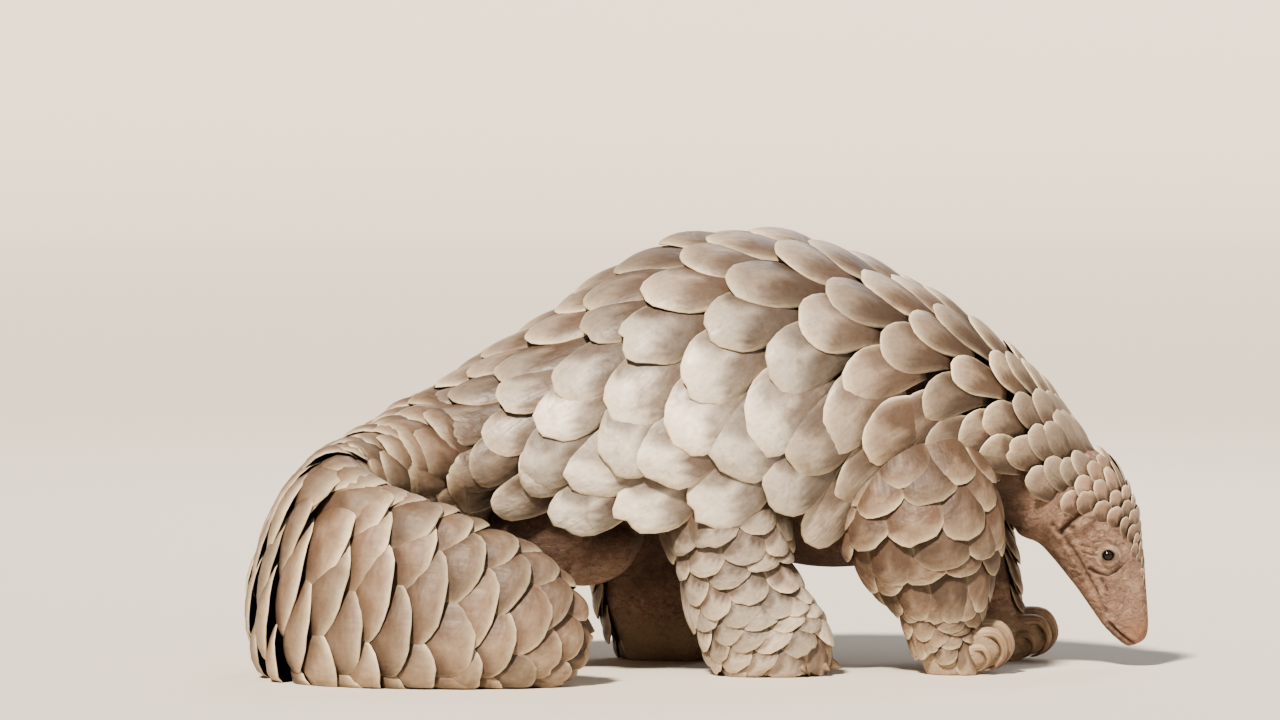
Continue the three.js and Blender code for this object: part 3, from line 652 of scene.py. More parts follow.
def build_scales(name, loft, field, material, bake_home, heading=1):
    """One mesh of many scales. field holds a value for each scale; heading -1 turns them about."""
    count = len(field["place"])
    rows, columns = len(ALONG_STEPS), len(ACROSS_STEPS)
    draw = np.random.default_rng(SCALE_SEED + count)
    s, t = (steps[None] for steps in np.meshgrid(ALONG_STEPS, ACROSS_STEPS, indexing="ij"))

    def each(values):
        return np.asarray(values, float).reshape(-1, 1, 1)

    own = {key: each(values) for key, values in field.items()}
    phase = each(draw.uniform(0, 6.28, count))
    notched = draw.random(count) < field["notched"]
    notches = [
        (each(notched * draw.uniform(least, most, count)), each(draw.uniform(-off, off, count)))
        for least, most, off in ((0.02, 0.09, 0.85), (0.0, 0.06, 0.9))
    ]
    reached = s * scale_reach(t, notches, own["ragged"], phase)
    flank = 0.66 + 0.34 * np.sin(np.clip(reached / 0.62, 0, 1) * math.pi / 2)
    lengthwise = reached * own["length"]
    crosswise = t * flank * own["width"] / 2
    turn_cos = np.cos(own["tilt"])
    turn_sin = np.sin(own["tilt"])
    back = lengthwise * turn_cos - crosswise * turn_sin
    down = lengthwise * turn_sin + crosswise * turn_cos

    held = np.clip(field["angle"], -field["limit"], field["limit"])
    along, round_way, _ = loft.axes(field["place"] + SPEED_AHEAD, held)
    place = own["place"] + heading * back / each(np.linalg.norm(along, axis=-1))
    angle = own["angle"] + down / each(np.linalg.norm(round_way, axis=-1))
    points, normal = on_surface(loft, place, angle, own["limit"])

    roll = each(draw.uniform(-1, 1, count)) * 0.9
    edge = np.maximum(np.abs(t) ** 6, s**9)
    top = -own["sink"] + (own["lift"] + own["sink"]) * reached**0.9 * (1 - 0.16 * reached**5) + roll * t
    top = top + own["arch"] * (0.7 * np.sin(math.pi * reached**1.4) * (1 - t**2) - t**2 * (0.4 + 0.6 * s))
    top = top - 0.5 * own["thick"] * edge
    body = own["thick"] * (1 - 0.62 * edge)
    upper = points + normal * top[..., None]
    lower = points + normal * (top - body)[..., None]

    faces = scale_faces(count, rows, columns)
    root = upper[:, 0, MIDDLE_STEP]
    facing = np.cross(upper[:, 1, MIDDLE_STEP] - root, upper[:, 0, MIDDLE_STEP + 1] - root)
    if np.median(np.sum(facing * normal[:, 0, MIDDLE_STEP], axis=-1)) > 0:
        faces = faces[:, ::-1]
    vertices = to_scene(np.stack([upper, lower], axis=1).reshape(-1, 3))
    vertices[:, 2] = np.maximum(vertices[:, 2], FLOOR_CLEARANCE)
    made = new_mesh_object(name, vertices, faces, material)

    def on_both_sides(values):
        return np.repeat(np.broadcast_to(values, (count, rows, columns))[:, None], 2, axis=1).ravel()

    shown = {
        "tone": each(draw.random(count)),
        # pale rim along the free edge: partly worn horn, partly a painted highlight
        "rim": np.clip(np.maximum(np.abs(t) ** 14, s**16), 0, 1),
        "pale": own["pale"],
        # painted shade under the edges of the scales over this one
        "crevice_shade": crevice_shade_strength(reached, t, own["stretch"], own["breadth"]),
        "brown": own["brown"],
        "earth": own["earth"],
    }
    for key, values in shown.items():
        add_values(made.data, key, on_both_sides(values))
    # Marks each scale's lower face for its painted shade.
    add_values(made.data, "under", np.tile(np.repeat([0.0, 1.0], rows * columns), count))
    card = np.stack([on_both_sides((t * flank + 1) / 2), on_both_sides(reached)], axis=-1)
    add_uv(made.data, "ScaleUV", card)
    home = np.stack([np.mod(field["angle"] / (2 * math.pi) + 0.5, 1), field["place"] / loft.last], axis=-1)
    corner, size = np.array(bake_home)
    home = corner + home * (size - BAKE_PATCH)
    add_uv(made.data, "OFBake", np.repeat(home, 2 * rows * columns, axis=0) + card * BAKE_PATCH)
    return made


def lattice(loft, start, stop, columns, step_of, keep=lambda place, angle: True, lean=0.0):
    """Staggered roots: place, angle and the local row step for each scale that keep allows."""
    places, angles, steps = [], [], []
    first = loft.length_at(start)
    length = first
    end = loft.length_at(stop) + lean * 2.2
    row = 0
    while length < end:
        for k in range(columns):
            angle = (2 * k + row % 2) * math.pi / columns
            angle = math.atan2(math.sin(angle), math.cos(angle))
            forward = lean * (math.hypot(angle, 0.4) - 0.4)
            place = float(loft.place_at(length - forward))
            if start <= place <= stop and length - forward > first and keep(place, angle):
                places.append(place)
                angles.append(angle)
                steps.append(step_of(place))
        length += step_of(loft.place_at(length))
        row += 1
    return np.array(places), np.array(angles), np.array(steps)


def scale_field(loft, places, angles, steps, columns, stretch, breadth, lift, tilt=0.0, **more):
    """The sizes and marks of each scale from the lattice it stands on; more replaces the usual ones."""
    count = len(places)
    draw = np.random.default_rng(SCALE_SEED * 3 + count)
    _, round_way, _ = loft.axes(places, angles)
    girth = np.linalg.norm(round_way, axis=-1) * 2 * math.pi / columns
    field = {
        "place": places + draw.uniform(-0.02, 0.02, count),
        "angle": angles + draw.uniform(-0.02, 0.02, count),
        "length": steps * stretch * draw.uniform(0.94, 1.06, count),
        "width": girth * breadth * draw.uniform(0.95, 1.05, count),
        "lift": lift * draw.uniform(0.9, 1.14, count),
        "tilt": tilt + draw.uniform(-0.06, 0.06, count),
        "ragged": draw.uniform(0.1, 0.7, count),
        "arch": girth * 0.078,
        "stretch": stretch,
        "breadth": breadth,
        "sink": 2.0,
        "thick": 1.6,
        "pale": 0.1,
        "brown": 0.0,
        "earth": 0.0,
        "limit": 9.0,
        **more,
    }
    return {key: np.broadcast_to(value, count).astype(float) for key, value in field.items()}


def dress(piece, slot, *nodes):
    """Puts a piece on the body in the place of the nodes it stands for, which it hides; slot is not used."""
    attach(piece, BODY_NAME)
    if nodes:
        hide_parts(*nodes)


def trunk_limit(place):
    """How far down from the back the trunk's surface carries scales before they hang."""
    lower_down = 0.3 * smooth_step(5.8, 7.2, place)
    return mix(SHOULDER_LIMIT, FLANK_LIMIT, smooth_step(2.6, 3.5, place)) + lower_down


def trunk_scales(material):
    """Scales from the nape to the hips, down to a hanging fringe along each flank."""
    size = sizes()
    flank_step = size.trunk_step / MM

    def step_of(place):
        if place < 4.2:
            return float(mix(NAPE_STEP, flank_step, (max(place - 0.5, 0) / 3.4) ** 0.85))
        return float(mix(flank_step, flank_step * 0.86, (place - 5.5) / 2))

    def keep(place, angle):
        return off_back(angle) < mix(1.72, trunk_limit(place), smooth_step(0.7, 2.3, place))

    places, angles, steps = lattice(
        BODY, 0.05, TAIL_PLACE + 0.35, size.trunk_columns, step_of, keep, TRUNK_LEAN)
    lower = off_back(angles)
    side = np.sign(np.where(angles == 0, 1, angles))
    tilt = side * mix(0.0, SWEEP, smooth_step(0.3, 1.5, lower)) * smooth_step(0.6, 2.4, places)
    tilt = tilt * mix(1, 0.45, smooth_step(5.5, 7.2, places))
    growth = mix(0.5, 1, (places - NECK_PLACE) / 2.5)
    # Flank scales painted paler, partly as bleached horn and partly as a painted sunlit highlight; they are
    # also more worn at the edge.
    bright = smooth_step(0.55, 1.25, lower) * smooth_step(2.6, 4.2, places)
    bright = bright * (1 - smooth_step(5.6, 6.6, places))
    shoulder = smooth_step(1.15, 1.6, lower) * smooth_step(1.7, 2.4, places)
    shoulder = shoulder * (1 - smooth_step(3.0, 3.5, places))
    flatter_neck = mix(0.56, 1, smooth_step(2.4, 4.2, places))
    pale_spread = np.random.default_rng(PALE_SEED).uniform(0.7, 1.3, len(places))
    field = scale_field(
        BODY, places, angles, steps, size.trunk_columns, mix(2.0, 3.15, (places - 0.1) / 2.2), 1.1,
        size.scale_lift / MM * growth * flatter_neck + 3.0 * shoulder, tilt,
        sink=2.0 - 3.0 * shoulder, thick=size.scale_thickness / MM * mix(0.65, 1, growth),
        notched=0.05 + 0.3 * bright, ragged=0.25 + 0.5 * bright,
        limit=trunk_limit(places) + 0.03, pale=np.clip(0.08 + bright * pale_spread, 0, 1))
    field["arch"] = field["arch"] * mix(0.45, 1, smooth_step(1.2, 3.6, places))
    pieces = []
    for name, start, stop in (("scales_front", 0, 3.4), ("scales_middle", 3.4, 5.2), ("scales_hips", 5.2, 9)):
        chosen = (places >= start) & (places < stop)
        part = {key: value[chosen] for key, value in field.items()}
        pieces.append(build_scales(name, BODY, part, material, TRUNK_BAKE))
    return pieces


def tail_scales(material):
    """Scales all round the tail, in few and broad rows beyond its base."""
    tail_columns = sizes().tail_columns
    pieces = []
    for name, start, stop, columns, steps_at in (
        ("scales_tail_base", TAIL_PLACE - 0.1, TAIL_BROAD_PLACE, tail_columns + 2, (10.0, 9.6)),
        ("scales_tail_end", TAIL_BROAD_PLACE - 0.35, BODY.last - 0.2, tail_columns, (11.0, 13.5)),
    ):
        def step_of(place):
            return float(mix(*steps_at, (place - start) / (stop - start)))

        places, angles, steps = lattice(BODY, start, stop, columns, step_of)
        closed_tip = mix(1, 0.25, smooth_step(14.6, 15.8, places))
        field = scale_field(
            BODY, places, angles, steps, columns, mix(3.7, 3.0, (places - 9) / 3), 1.14,
            mix(14.0, 5.0, (places - 10.5) / 5) * closed_tip, arch=mix(4.6, 2.6, (places - 8) / 8),
            notched=0.08, ragged=0.3, earth=1.0)
        pieces.append(build_scales(name, BODY, field, material, TRUNK_BAKE))
    return pieces


def leg_scales(name, material):
    """Scales on the outer, front and rear faces of a leg, pointing down."""
    loft = LEGS[name]
    if name.startswith("fore"):
        start, stop, steps_at, rows_from, rows_over, pale, earth = 0.2, 5.0, (14.5, 7), 0.8, 3.6, 0.12, 0.95
    else:
        start, stop, steps_at, rows_from, rows_over, pale, earth = 0.8, 5.35, (13, 8.2), 1.0, 2.6, 0.45, 0.2
    outside = math.pi / 2 * (-1 if name.endswith("right") else 1)

    def step_of(place):
        return float(mix(*steps_at, (place - rows_from) / rows_over))

    def keep(place, angle):
        return off_back(angle - outside) < LEG_COVER

    places, angles, steps = lattice(loft, start, stop, LEG_COLUMNS, step_of, keep)
    buried = 3.0 * smooth_step(1.2, 0.5, places)
    field = scale_field(
        loft, places, angles, steps, LEG_COLUMNS, 3.2, 1.16, mix(7.5, 3.6, (places - 1) / 4) - buried,
        sink=2.0 + buried, thick=1.25, pale=pale, notched=0.2, earth=earth)
    (corner_u, corner_v), bake_size = LEG_BAKE
    corner = (corner_u + LEG_BAKE_STEP * LEG_NAMES.index(name), corner_v)
    return build_scales(f"scales_{name}", loft, field, material, (corner, bake_size))


def crown_scales(material):
    """Small scales from the middle of the snout up the forehead to the nape, over the first of the neck."""
    def step_of(place):
        return float(mix(7.0, 3.4, (place - 1.4) / 2.6))

    def keep(place, angle):
        return off_back(angle) < mix(1.62, 0.5, (max(place - 1.5, 0) / 2.6) ** 0.8)

    places, angles, steps = lattice(HEAD, 1.0, 4.5, CROWN_COLUMNS, step_of, keep)
    from_snout = smooth_step(4.3, 1.8, places)
    field = scale_field(
        HEAD, places, angles, steps, CROWN_COLUMNS, 2.6, 1.1, mix(0.4, 4.8, from_snout),
        thick=mix(0.4, 0.9, from_snout), sink=1.2, pale=0.0, brown=mix(1.0, 0.6, from_snout), notched=0.03)
    field["arch"] = field["arch"] * 0.2
    field["tilt"] = field["tilt"] * 0.5
    return build_scales("scales_crown", HEAD, field, material, CROWN_BAKE, heading=-1)


# Skin

# Balls that fill out the skin on both sides: middle, radii and turn about the Y axis.
PAIRED_BALLS = [
    ((222, 30.2, 86), (10.5, 3.4, 3), -0.67),  # the ridge of the ear
    ((-92, 42, 86), (34, 26, 25), 0.4),
    ((-62, 36, 68), (27, 20, 18), -0.3),
    ((-112, 30, 99), (22, 20, 16), 0.5),
    ((86, 40, 96), (22, 16, 18), 0),
]
SINGLE_BALLS = [
    ((-70, 0, 78), (38, 30, 22), 0.1),
    ((78, 0, 88), (62, 46, 30), 0),
    ((-71, -146, 20.5), (8.5, 7.5, 12.5), 0),  # the tip of the tail
]
# Creases beside the head: points on a line as x and z, depth, width, the darkness of the painted shade along
# it, and how raised its banks are.
CREASES = [
    (((226.3, 58.2), (229, 56.4), (233, 55), (237, 54.8), (241, 57), (245, 60.8)), 1.5, 0.95, 0.95, 0.5),
    (((233, 52.4), (233.8, 50.2)), 0.8, 1.1, 0.9, 0.35),
    (((235.4, 48), (236.4, 45.8)), 0.8, 1.0, 0.9, 0.35),
    (((227, 74), (232, 74.6), (238, 73.6), (243, 71)), 0.7, 0.8, 0.4, 0.35),
    (((229, 80), (235, 79), (241, 76)), 0.5, 0.8, 0.3, 0.35),
    (((222, 68), (226, 66.5), (230, 66)), 0.7, 0.7, 0.45, 0.35),
    (((221, 72), (226, 71), (230, 69)), 0.6, 0.7, 0.35, 0.35),
    (((209, 80), (214, 86), (221, 92), (229, 96)), 2.2, 1.6, 0.95, 0.35),
    (((204, 84), (210, 78), (217, 68), (224, 56), (231, 42)), 0.9, 1.3, 0.3, 0.35),
    (((213, 72), (222, 58), (230, 44), (236, 32)), 0.6, 1.1, 0.25, 0.35),
    (((238, 26), (242.5, 21.2), (247.5, 17), (252.5, 14)), 1.6, 0.95, 1.0, 0.45),
    (((240, 32), (245, 29), (251, 28)), 0.4, 0.7, 0.25, 0.35),
    (((243, 25), (248, 23), (253, 23)), 0.35, 0.6, 0.25, 0.35),
]
NOSE_RING = ((250, 24), (257, 20), (257.5, 12))
HEAD_FROM = 202  # ahead of this x the skin is refined
HEAD_MARGIN = 0.004  # how far behind that the head's smoothing starts, in metres


def inset_loft(loft, stop, steps, around, depth_of):
    """A closed tube inside a loft; depth_of gives how far inside at a place and an angle."""
    place, angle = np.meshgrid(
        np.linspace(0, stop, steps), np.linspace(0, 2 * math.pi, around, endpoint=False), indexing="ij")
    points = loft.point(place, angle)
    _, _, normal = loft.axes(place, angle)
    return closed_grid(points - normal * depth_of(place, angle)[..., None])


def ball(at, radii, turn=0.0):
    """A closed ellipsoid, turned about the Y axis."""
    polar, around = np.meshgrid(
        np.linspace(0.05, math.pi - 0.05, 16), np.linspace(0, 2 * math.pi, 24, False), indexing="ij")
    x = np.sin(polar) * np.cos(around) * radii[0]
    y = np.sin(polar) * np.sin(around) * radii[1]
    z = np.cos(polar) * radii[2]
    turned_x = x * math.cos(turn) + z * math.sin(turn)
    turned_z = z * math.cos(turn) - x * math.sin(turn)
    return closed_grid(np.stack([turned_x, y, turned_z], axis=-1) + np.array(at))


def skin_parts():
    """Closed bodies that overlap and are made into one skin."""
    depth = sizes().skin_depth / MM

    def body_depth(place, angle):
        under = smooth_step(1.85, 2.5, off_back(angle)) * smooth_step(0.8, 2.5, place)
        under = under * (1 - smooth_step(6.0, 7.5, place))
        return depth * smooth_step(0.2, 1.6, place) + under * 6

    def leg_depth(place, angle):
        under_trunk = 13.0 * (1 - smooth_step(0.1, 1.3, place))
        return under_trunk + 3.5 * smooth_step(0.5, 2.0, place) * (1 - smooth_step(4.6, 5.4, place))

    parts = [
        inset_loft(BODY, BODY.last, 150, 64, body_depth),
        inset_loft(HEAD, HEAD.last, 60, 48, lambda place, angle: np.zeros_like(place)),
    ]
    parts += [inset_loft(loft, loft.last - 0.15, 50, 40, leg_depth) for loft in LEGS.values()]
    for side in (-1, 1):
        parts += [ball((x, y * side, z), radii, turn) for (x, y, z), radii, turn in PAIRED_BALLS]
    parts += [ball(*values) for values in SINGLE_BALLS]
    for name in ("foreleg_right", "foreleg_left"):
        x, y, _ = LEGS[name].end()
        for out, (fore, high), reach, _, thick in FORE_CLAWS:
            at = (x + fore + 0.2 * reach, y + out * 0.86, high - 1)
            parts.append(ball(at, (reach * 0.36 + 3, thick * 1.25, thick * 1.35), 0.15))
        parts.append(ball((x + 10, y, 9), (15, 16, 8)))
        parts.append(ball((x + 17, y, 14), (13, 14, 11)))
    return parts


def along_curve(points, path):
    """Distance of each point from a line of joined stretches."""
    best = np.full(len(points), 1e9)
    path = np.array(path, float)
    for a, b in zip(path[:-1], path[1:]):
        share = np.clip((points - a) @ (b - a) / np.dot(b - a, b - a), 0, 1)
        best = np.minimum(best, np.linalg.norm(points - (a + share[:, None] * (b - a)), axis=1))
    return best


def head_relief(points):
    """How far the head's skin moves out, and how much painted shade it gets in creases, nostrils, the ear and
    under the jaw, at points in model millimetres.
    """
    x, y, z = points.T
    side = np.abs(y)
    plane = np.stack([x, z], axis=1)
    out = np.zeros(len(points))
    dark = np.zeros(len(points))
    facing = smooth_step(2, 9, side)
    for path, depth, width, shade, raised in CREASES:
        away = along_curve(plane, path)
        line = near(away, width) * facing
        banks = near(away - 2.1 * width, 1.3 * width) * facing
        out += raised * depth * banks - depth * line
        # Painted shade along the bottom of each crease.
        dark = np.maximum(dark, shade * line)

    phase = x * 0.5 - z * 0.9 + 2.2 * np.sin(x * 0.21 + z * 0.13) + 1.5 * np.sin(side * 0.4 + z * 0.17)
    cheek = smooth_step(205, 222, x) * smooth_step(262, 246, x)
    out += cheek * 0.16 * np.sin(phase) * smooth_step(4, 12, side)
    out += 0.1 * np.sin(x * 1.1 + 1.7 * np.sin(z * 0.6)) * np.sin(z * 1.3 + 1.4 * np.sin(side * 0.9)) * cheek
    nostril = near(np.sqrt(((x - 256.2) / 2.2) ** 2 + ((side - 3.4) / 1.5) ** 2 + ((z - 16.4) / 1.7) ** 2), 1)
    out -= 2.0 * nostril
    # Painted shade in the nostril.
    dark = np.maximum(dark, nostril)
    out += 0.25 * near(along_curve(plane, NOSE_RING), 1.2)
    ear_hole = near(np.sqrt(((x - 214.5) / 2.4) ** 2 + ((z - 82.5) / 1.8) ** 2), 1)
    ear_side = smooth_step(18, 26, side)
    out -= 2.6 * ear_hole * ear_side
    # Painted shade in the ear's opening.
    dark = np.maximum(dark, ear_hole * ear_side)

    # Painted shade on the underside of the jaw, below the mouth.
    below_mouth = (235 - x) * 0.627 + (27.4 - z) * 0.779
    chin_shade = 0.65 * smooth_step(0.4, 2.4, below_mouth) * smooth_step(224, 237, x) * smooth_step(46, 32, z)
    return out, np.maximum(dark, chin_shade)


def shape_head(points):
    """Head points with relief and lids round each eye, how much painted shade each point gets, and how near
    to a lid.
    """
    out, dark = head_relief(points)
    eye_x, eye_y, eye_z = EYE_AT
    reach = np.sqrt(((points[:, 0] - eye_x) / 1.12) ** 2 + (points[:, 2] - eye_z) ** 2)
    beside = smooth_step(9, 14, np.abs(points[:, 1]))
    share = smooth_step(196, 208, points[:, 0])
    middle = HEAD.section(np.clip((points[:, 0] - 203) / 52 * HEAD.last, 0, HEAD.last))[0]
    points = points + unit(points - middle) * (out * share)[:, None]

    side = np.sign(points[:, 1])
    off_middle = np.abs(points[:, 1])
    ball_top = np.sqrt(np.clip((EYE_RADIUS + 1.15) ** 2 - reach**2, 0.01, None)) + abs(eye_y)
    rim = smooth_step(7.5, 4.4, reach) * beside
    lifted = np.maximum(off_middle, mix(off_middle, ball_top, rim))
    opening = smooth_step(3.3, 2.5, reach) * beside
    lifted = mix(lifted, abs(eye_y) + 0.5, opening)
    points[:, 1] = np.where(beside > 0, side * lifted, points[:, 1])
    # Painted shade in the opening between the lids and in a crease round the lid.
    dark = np.maximum(dark, 0.9 * near(reach - 3.1, 0.8) * beside)
    dark = np.maximum(dark, 0.3 * near(reach - 7.6, 0.7) * beside)
    lid = near(reach - 5.4, 1.3) * beside
    return points, dark * share, lid * share


def relax(points, edges, rounds, share):
    """Moves each point towards the middle of its neighbours."""
    here, there = np.concatenate([edges, edges[:, ::-1]]).T
    count = len(points)
    neighbours = np.maximum(np.bincount(here, minlength=count)[:, None], 1)
    for _ in range(rounds):
        sums = [np.bincount(here, points[there, axis], minlength=count) for axis in range(3)]
        points = points + share * (np.stack(sums, axis=1) / neighbours - points)
    return points


def mesh_points(mesh):
    points = np.empty(len(mesh.vertices) * 3, np.float32)
    mesh.vertices.foreach_get("co", points)
    return points.reshape(-1, 3).astype(float)


def mesh_edges(mesh):
    edges = np.empty(len(mesh.edges) * 2, np.int32)
    mesh.edges.foreach_get("vertices", edges)
    return edges.reshape(-1, 2)


def move_points(mesh, points):
    mesh.vertices.foreach_set("co", points.astype(np.float32).ravel())


def refine(mesh, chosen, times):
    """Divides the faces whose middle chosen allows."""
    work = bmesh.new()
    work.from_mesh(mesh)
    for _ in range(times):
        edges = {e for f in work.faces if chosen(f.calc_center_median()) for e in f.edges}
        bmesh.ops.subdivide_edges(work, edges=list(edges), cuts=1, use_grid_fill=True, smooth=0.0)
    bmesh.ops.triangulate(work, faces=[f for f in work.faces if len(f.verts) > 4])
    work.to_mesh(mesh)
    work.free()


def build_skin(material):
    """One surface over body, head and legs, finer and with relief on the head, and the marks on it."""
    vertices, faces, start = [], [], 0
    for points, triangles in skin_parts():
        vertices.append(points)
        faces.append(triangles + start)
        start += len(points)
    rough = new_mesh_object("skin_rough", to_scene(np.concatenate(vertices)), np.concatenate(faces), None)
    remesh = rough.modifiers.new("One surface", "REMESH")
    remesh.mode = "VOXEL"
    remesh.voxel_size = sizes().skin_voxel * 1
    evaluated = rough.evaluated_get(bpy.context.evaluated_depsgraph_get())
    mesh = bpy.data.meshes.new_from_object(evaluated)
    bpy.data.objects.remove(rough)
    mesh.name = "skin"
    move_points(mesh, relax(mesh_points(mesh), mesh_edges(mesh), 3, 0.5))
    head_from = HEAD_FROM * MM + SHIFT[0]
    refine(mesh, lambda middle: middle.x > head_from, 2)

    points = mesh_points(mesh)
    on_head = points[:, 0] > head_from - HEAD_MARGIN
    points[on_head] = relax(points, mesh_edges(mesh), 4, 0.5)[on_head]
    model = (points - SHIFT) / MM
    painted_shade = np.zeros(len(model))
    lid = np.zeros(len(model))
    model[on_head], painted_shade[on_head], lid[on_head] = shape_head(model[on_head])
    points = to_scene(model)
    points[:, 2] = np.maximum(points[:, 2], 0.0)
    move_points(mesh, points)
    mesh.update()
    mesh.shade_smooth()
    mesh.materials.clear()
    mesh.materials.append(material)

    x, y, z = model.T
    # Painted shade on the skin under the belly and between the legs, weaker on the groin.
    belly = smooth_step(34, 56, z) * smooth_step(-160, -135, x) * smooth_step(198, 176, x)
    groin = np.exp(-(((x + 75) / 36) ** 2) - ((z - 60) / 13) ** 2)
    tail_end = smooth_step(-96, -86, x) * smooth_step(-125, -136, y)
    painted_shade = np.maximum(painted_shade, 0.75 * belly * (1 - 0.85 * groin))
    add_values(mesh, "painted_shade", np.clip(painted_shade, 0, 1))
    add_values(mesh, "lid", lid)
    add_values(mesh, "nose", smooth_step(240, 254, x) * smooth_step(36, 18, z))
    add_values(mesh, "dust", np.maximum(smooth_step(34, 14, z) * smooth_step(215, 195, x), tail_end))
    return link("skin", mesh)


# Claws and eyes

CLAW_SHOWN = 0.88  # of a claw's line, past which its tip is worn off
CLAW_PALM = 0.62  # a claw is flatter on the side it curls to


def claw_tube(points, thick, steps=22, around=16):
    """A claw along a curve through points, thinner towards its tip, with its tips rounded."""
    path = Loft([(point, (0, 1, 0), 1, 1, 1) for point in points])
    places = np.linspace(0, path.last * CLAW_SHOWN, steps)
    middle, side, palm_way, *_ = path.section(places)
    share = places / places[-1]
    radius = thick * (1.3 - 1.16 * share**0.85) * np.sqrt(np.clip(1 - share**12, 0.02, 1))
    turn = np.linspace(0, 2 * math.pi, around, endpoint=False)
    palm = np.where(np.sin(turn) > 0, CLAW_PALM, 1.0)
    ring = (
        middle[:, None]
        + side[:, None] * (np.cos(turn)[None, :, None] * radius[:, None, None] * 0.98)
        + palm_way[:, None] * ((np.sin(turn) * palm)[None, :, None] * radius[:, None, None])
    )
    vertices, triangles = closed_grid(ring)
    card = np.stack(np.broadcast_arrays(turn / (2 * math.pi), share[:, None]), axis=-1).reshape(-1, 2)
    return vertices, triangles, np.concatenate([card, [[0.5, 0], [0.5, 1]]])


def fore_claw_path(claw, sole):
    """A digging claw's line: ahead from its root, then down and back under it."""
    out, (fore, high), reach, drop, _ = claw
    x = sole[0] + fore
    y = sole[1] + out
    lean = out * 0.25
    return [
        (x, y - lean, high),
        (x + reach * 0.72, y, high + 1),
        (x + reach, y + lean * 0.3, high - drop * 0.42),
        (x + reach * 0.72, y, high - drop * 0.86),
        (x + reach * 0.2, y, high - drop),
    ]


def hind_claw_path(bearing, loft):
    """A short claw's line, out from the foot's side at a bearing and slightly down."""
    middle, _, _, wide, top, _ = loft.section(HIND_CLAW_PLACE)
    angle = math.radians(bearing)
    ahead = np.array([math.cos(angle), math.sin(angle), 0])
    reach = 1 / math.hypot(math.cos(angle) / top, math.sin(angle) / wide)
    start = np.array([middle[0], middle[1], HIND_CLAW_HEIGHT]) + ahead * (reach - HIND_CLAW_SUNK)
    down = np.array([0, 0, -HIND_CLAW_DROP])
    return [start + ahead * s * HIND_CLAW_LONG + down * s * s for s in (0, 0.4, 0.75, 1)]


def build_claws(material):
    for name, loft in LEGS.items():
        if name.startswith("fore"):
            claws = [(fore_claw_path(claw, loft.end()), claw[-1]) for claw in FORE_CLAWS]
        else:
            claws = [(hind_claw_path(bearing, loft), HIND_CLAW_THICK) for bearing in HIND_BEARINGS]
        for number, (path, thick) in enumerate(claws, start=1):
            vertices, triangles, card = claw_tube(path, thick)
            vertices[:, 2] = np.maximum(vertices[:, 2], 0)
            node = f"{name.replace('leg', 'claw')}_{number}"
            made = new_mesh_object(f"horn_{node}", to_scene(vertices), triangles, material)
            add_uv(made.data, "ScaleUV", card)
            dress(made, "claw", node)


def build_eyes(material):
    for name, side in (("right", 1), ("left", -1)):
        vertices, triangles = ball(EYE_AT * np.array([1, side, 1]), (EYE_RADIUS,) * 3)
        made = new_mesh_object(f"eyeball_{name}", to_scene(vertices), triangles, material)
        dress(made, "eye", f"eye_{name}")


# Stage

VIEW_MIDDLE = (-34.8, 0.0, 178.6)  # model point at the middle of the picture
VIEW_ELEVATION = math.radians(2.0)
FILM_WIDTH = 36
FLOOR_FLAT = 13.0  # radius of the flat floor, beyond which it curves up all round
FLOOR_CURVE = 5.0
FLOOR_SIDES = 96
SUN_WAY = (1.0, 2.2, -2.6)
SUN_POWER = 7.0
SUN_ANGLE = 0.12
SUN_COLOUR = (1.0, 0.92, 0.8)
LAMP_AIM = (0, 0, 0.12)
# Lamps: name, place, size, power and colour.
LAMPS = (
    ("fill", (1.6, -1.8, 1.8), 2.0, 14, (0.78, 0.88, 1.0)),
    ("back", (0.6, 2.0, 1.9), 1.2, 18, (0.9, 0.95, 1.0)),
)
WORLD_COLOUR = (0.8, 0.84, 0.88, 1)
WORLD_STRENGTH = 0.17


def build_floor():
    rises = np.linspace(0, math.pi / 2, 12)
    profile = [(1.0, 0.0)]
    profile += [(FLOOR_FLAT + FLOOR_CURVE * math.sin(a), FLOOR_CURVE * (1 - math.cos(a))) for a in rises]
    turns = np.linspace(0, 2 * math.pi, FLOOR_SIDES, endpoint=False)
    vertices = [(0.0, 0.0, 0.0)] + [(r * math.cos(a), r * math.sin(a), z) for r, z in profile for a in turns]
    faces = [(0, 1 + k, 1 + (k + 1) % FLOOR_SIDES) for k in range(FLOOR_SIDES)]
    for ring in range(len(profile) - 1):
        inner = 1 + ring * FLOOR_SIDES
        outer = inner + FLOOR_SIDES
        for k in range(FLOOR_SIDES):
            following = (k + 1) % FLOOR_SIDES
            faces.append((inner + k, outer + k, outer + following, inner + following))
    mesh = bpy.data.meshes.new("floor")
    mesh.from_pydata(vertices, [], faces)
    mesh.shade_smooth()
    mesh.materials.append(floor_material())
    return link("floor", mesh)


def stand(name, data, way, at=(0, 0, 0)):
    """Puts a light or the camera in the scene, turned to look along way."""
    made = link(name, data)
    made.location = at
    made.rotation_euler = Vector(way).to_track_quat("-Z", "Y").to_euler()
    return made


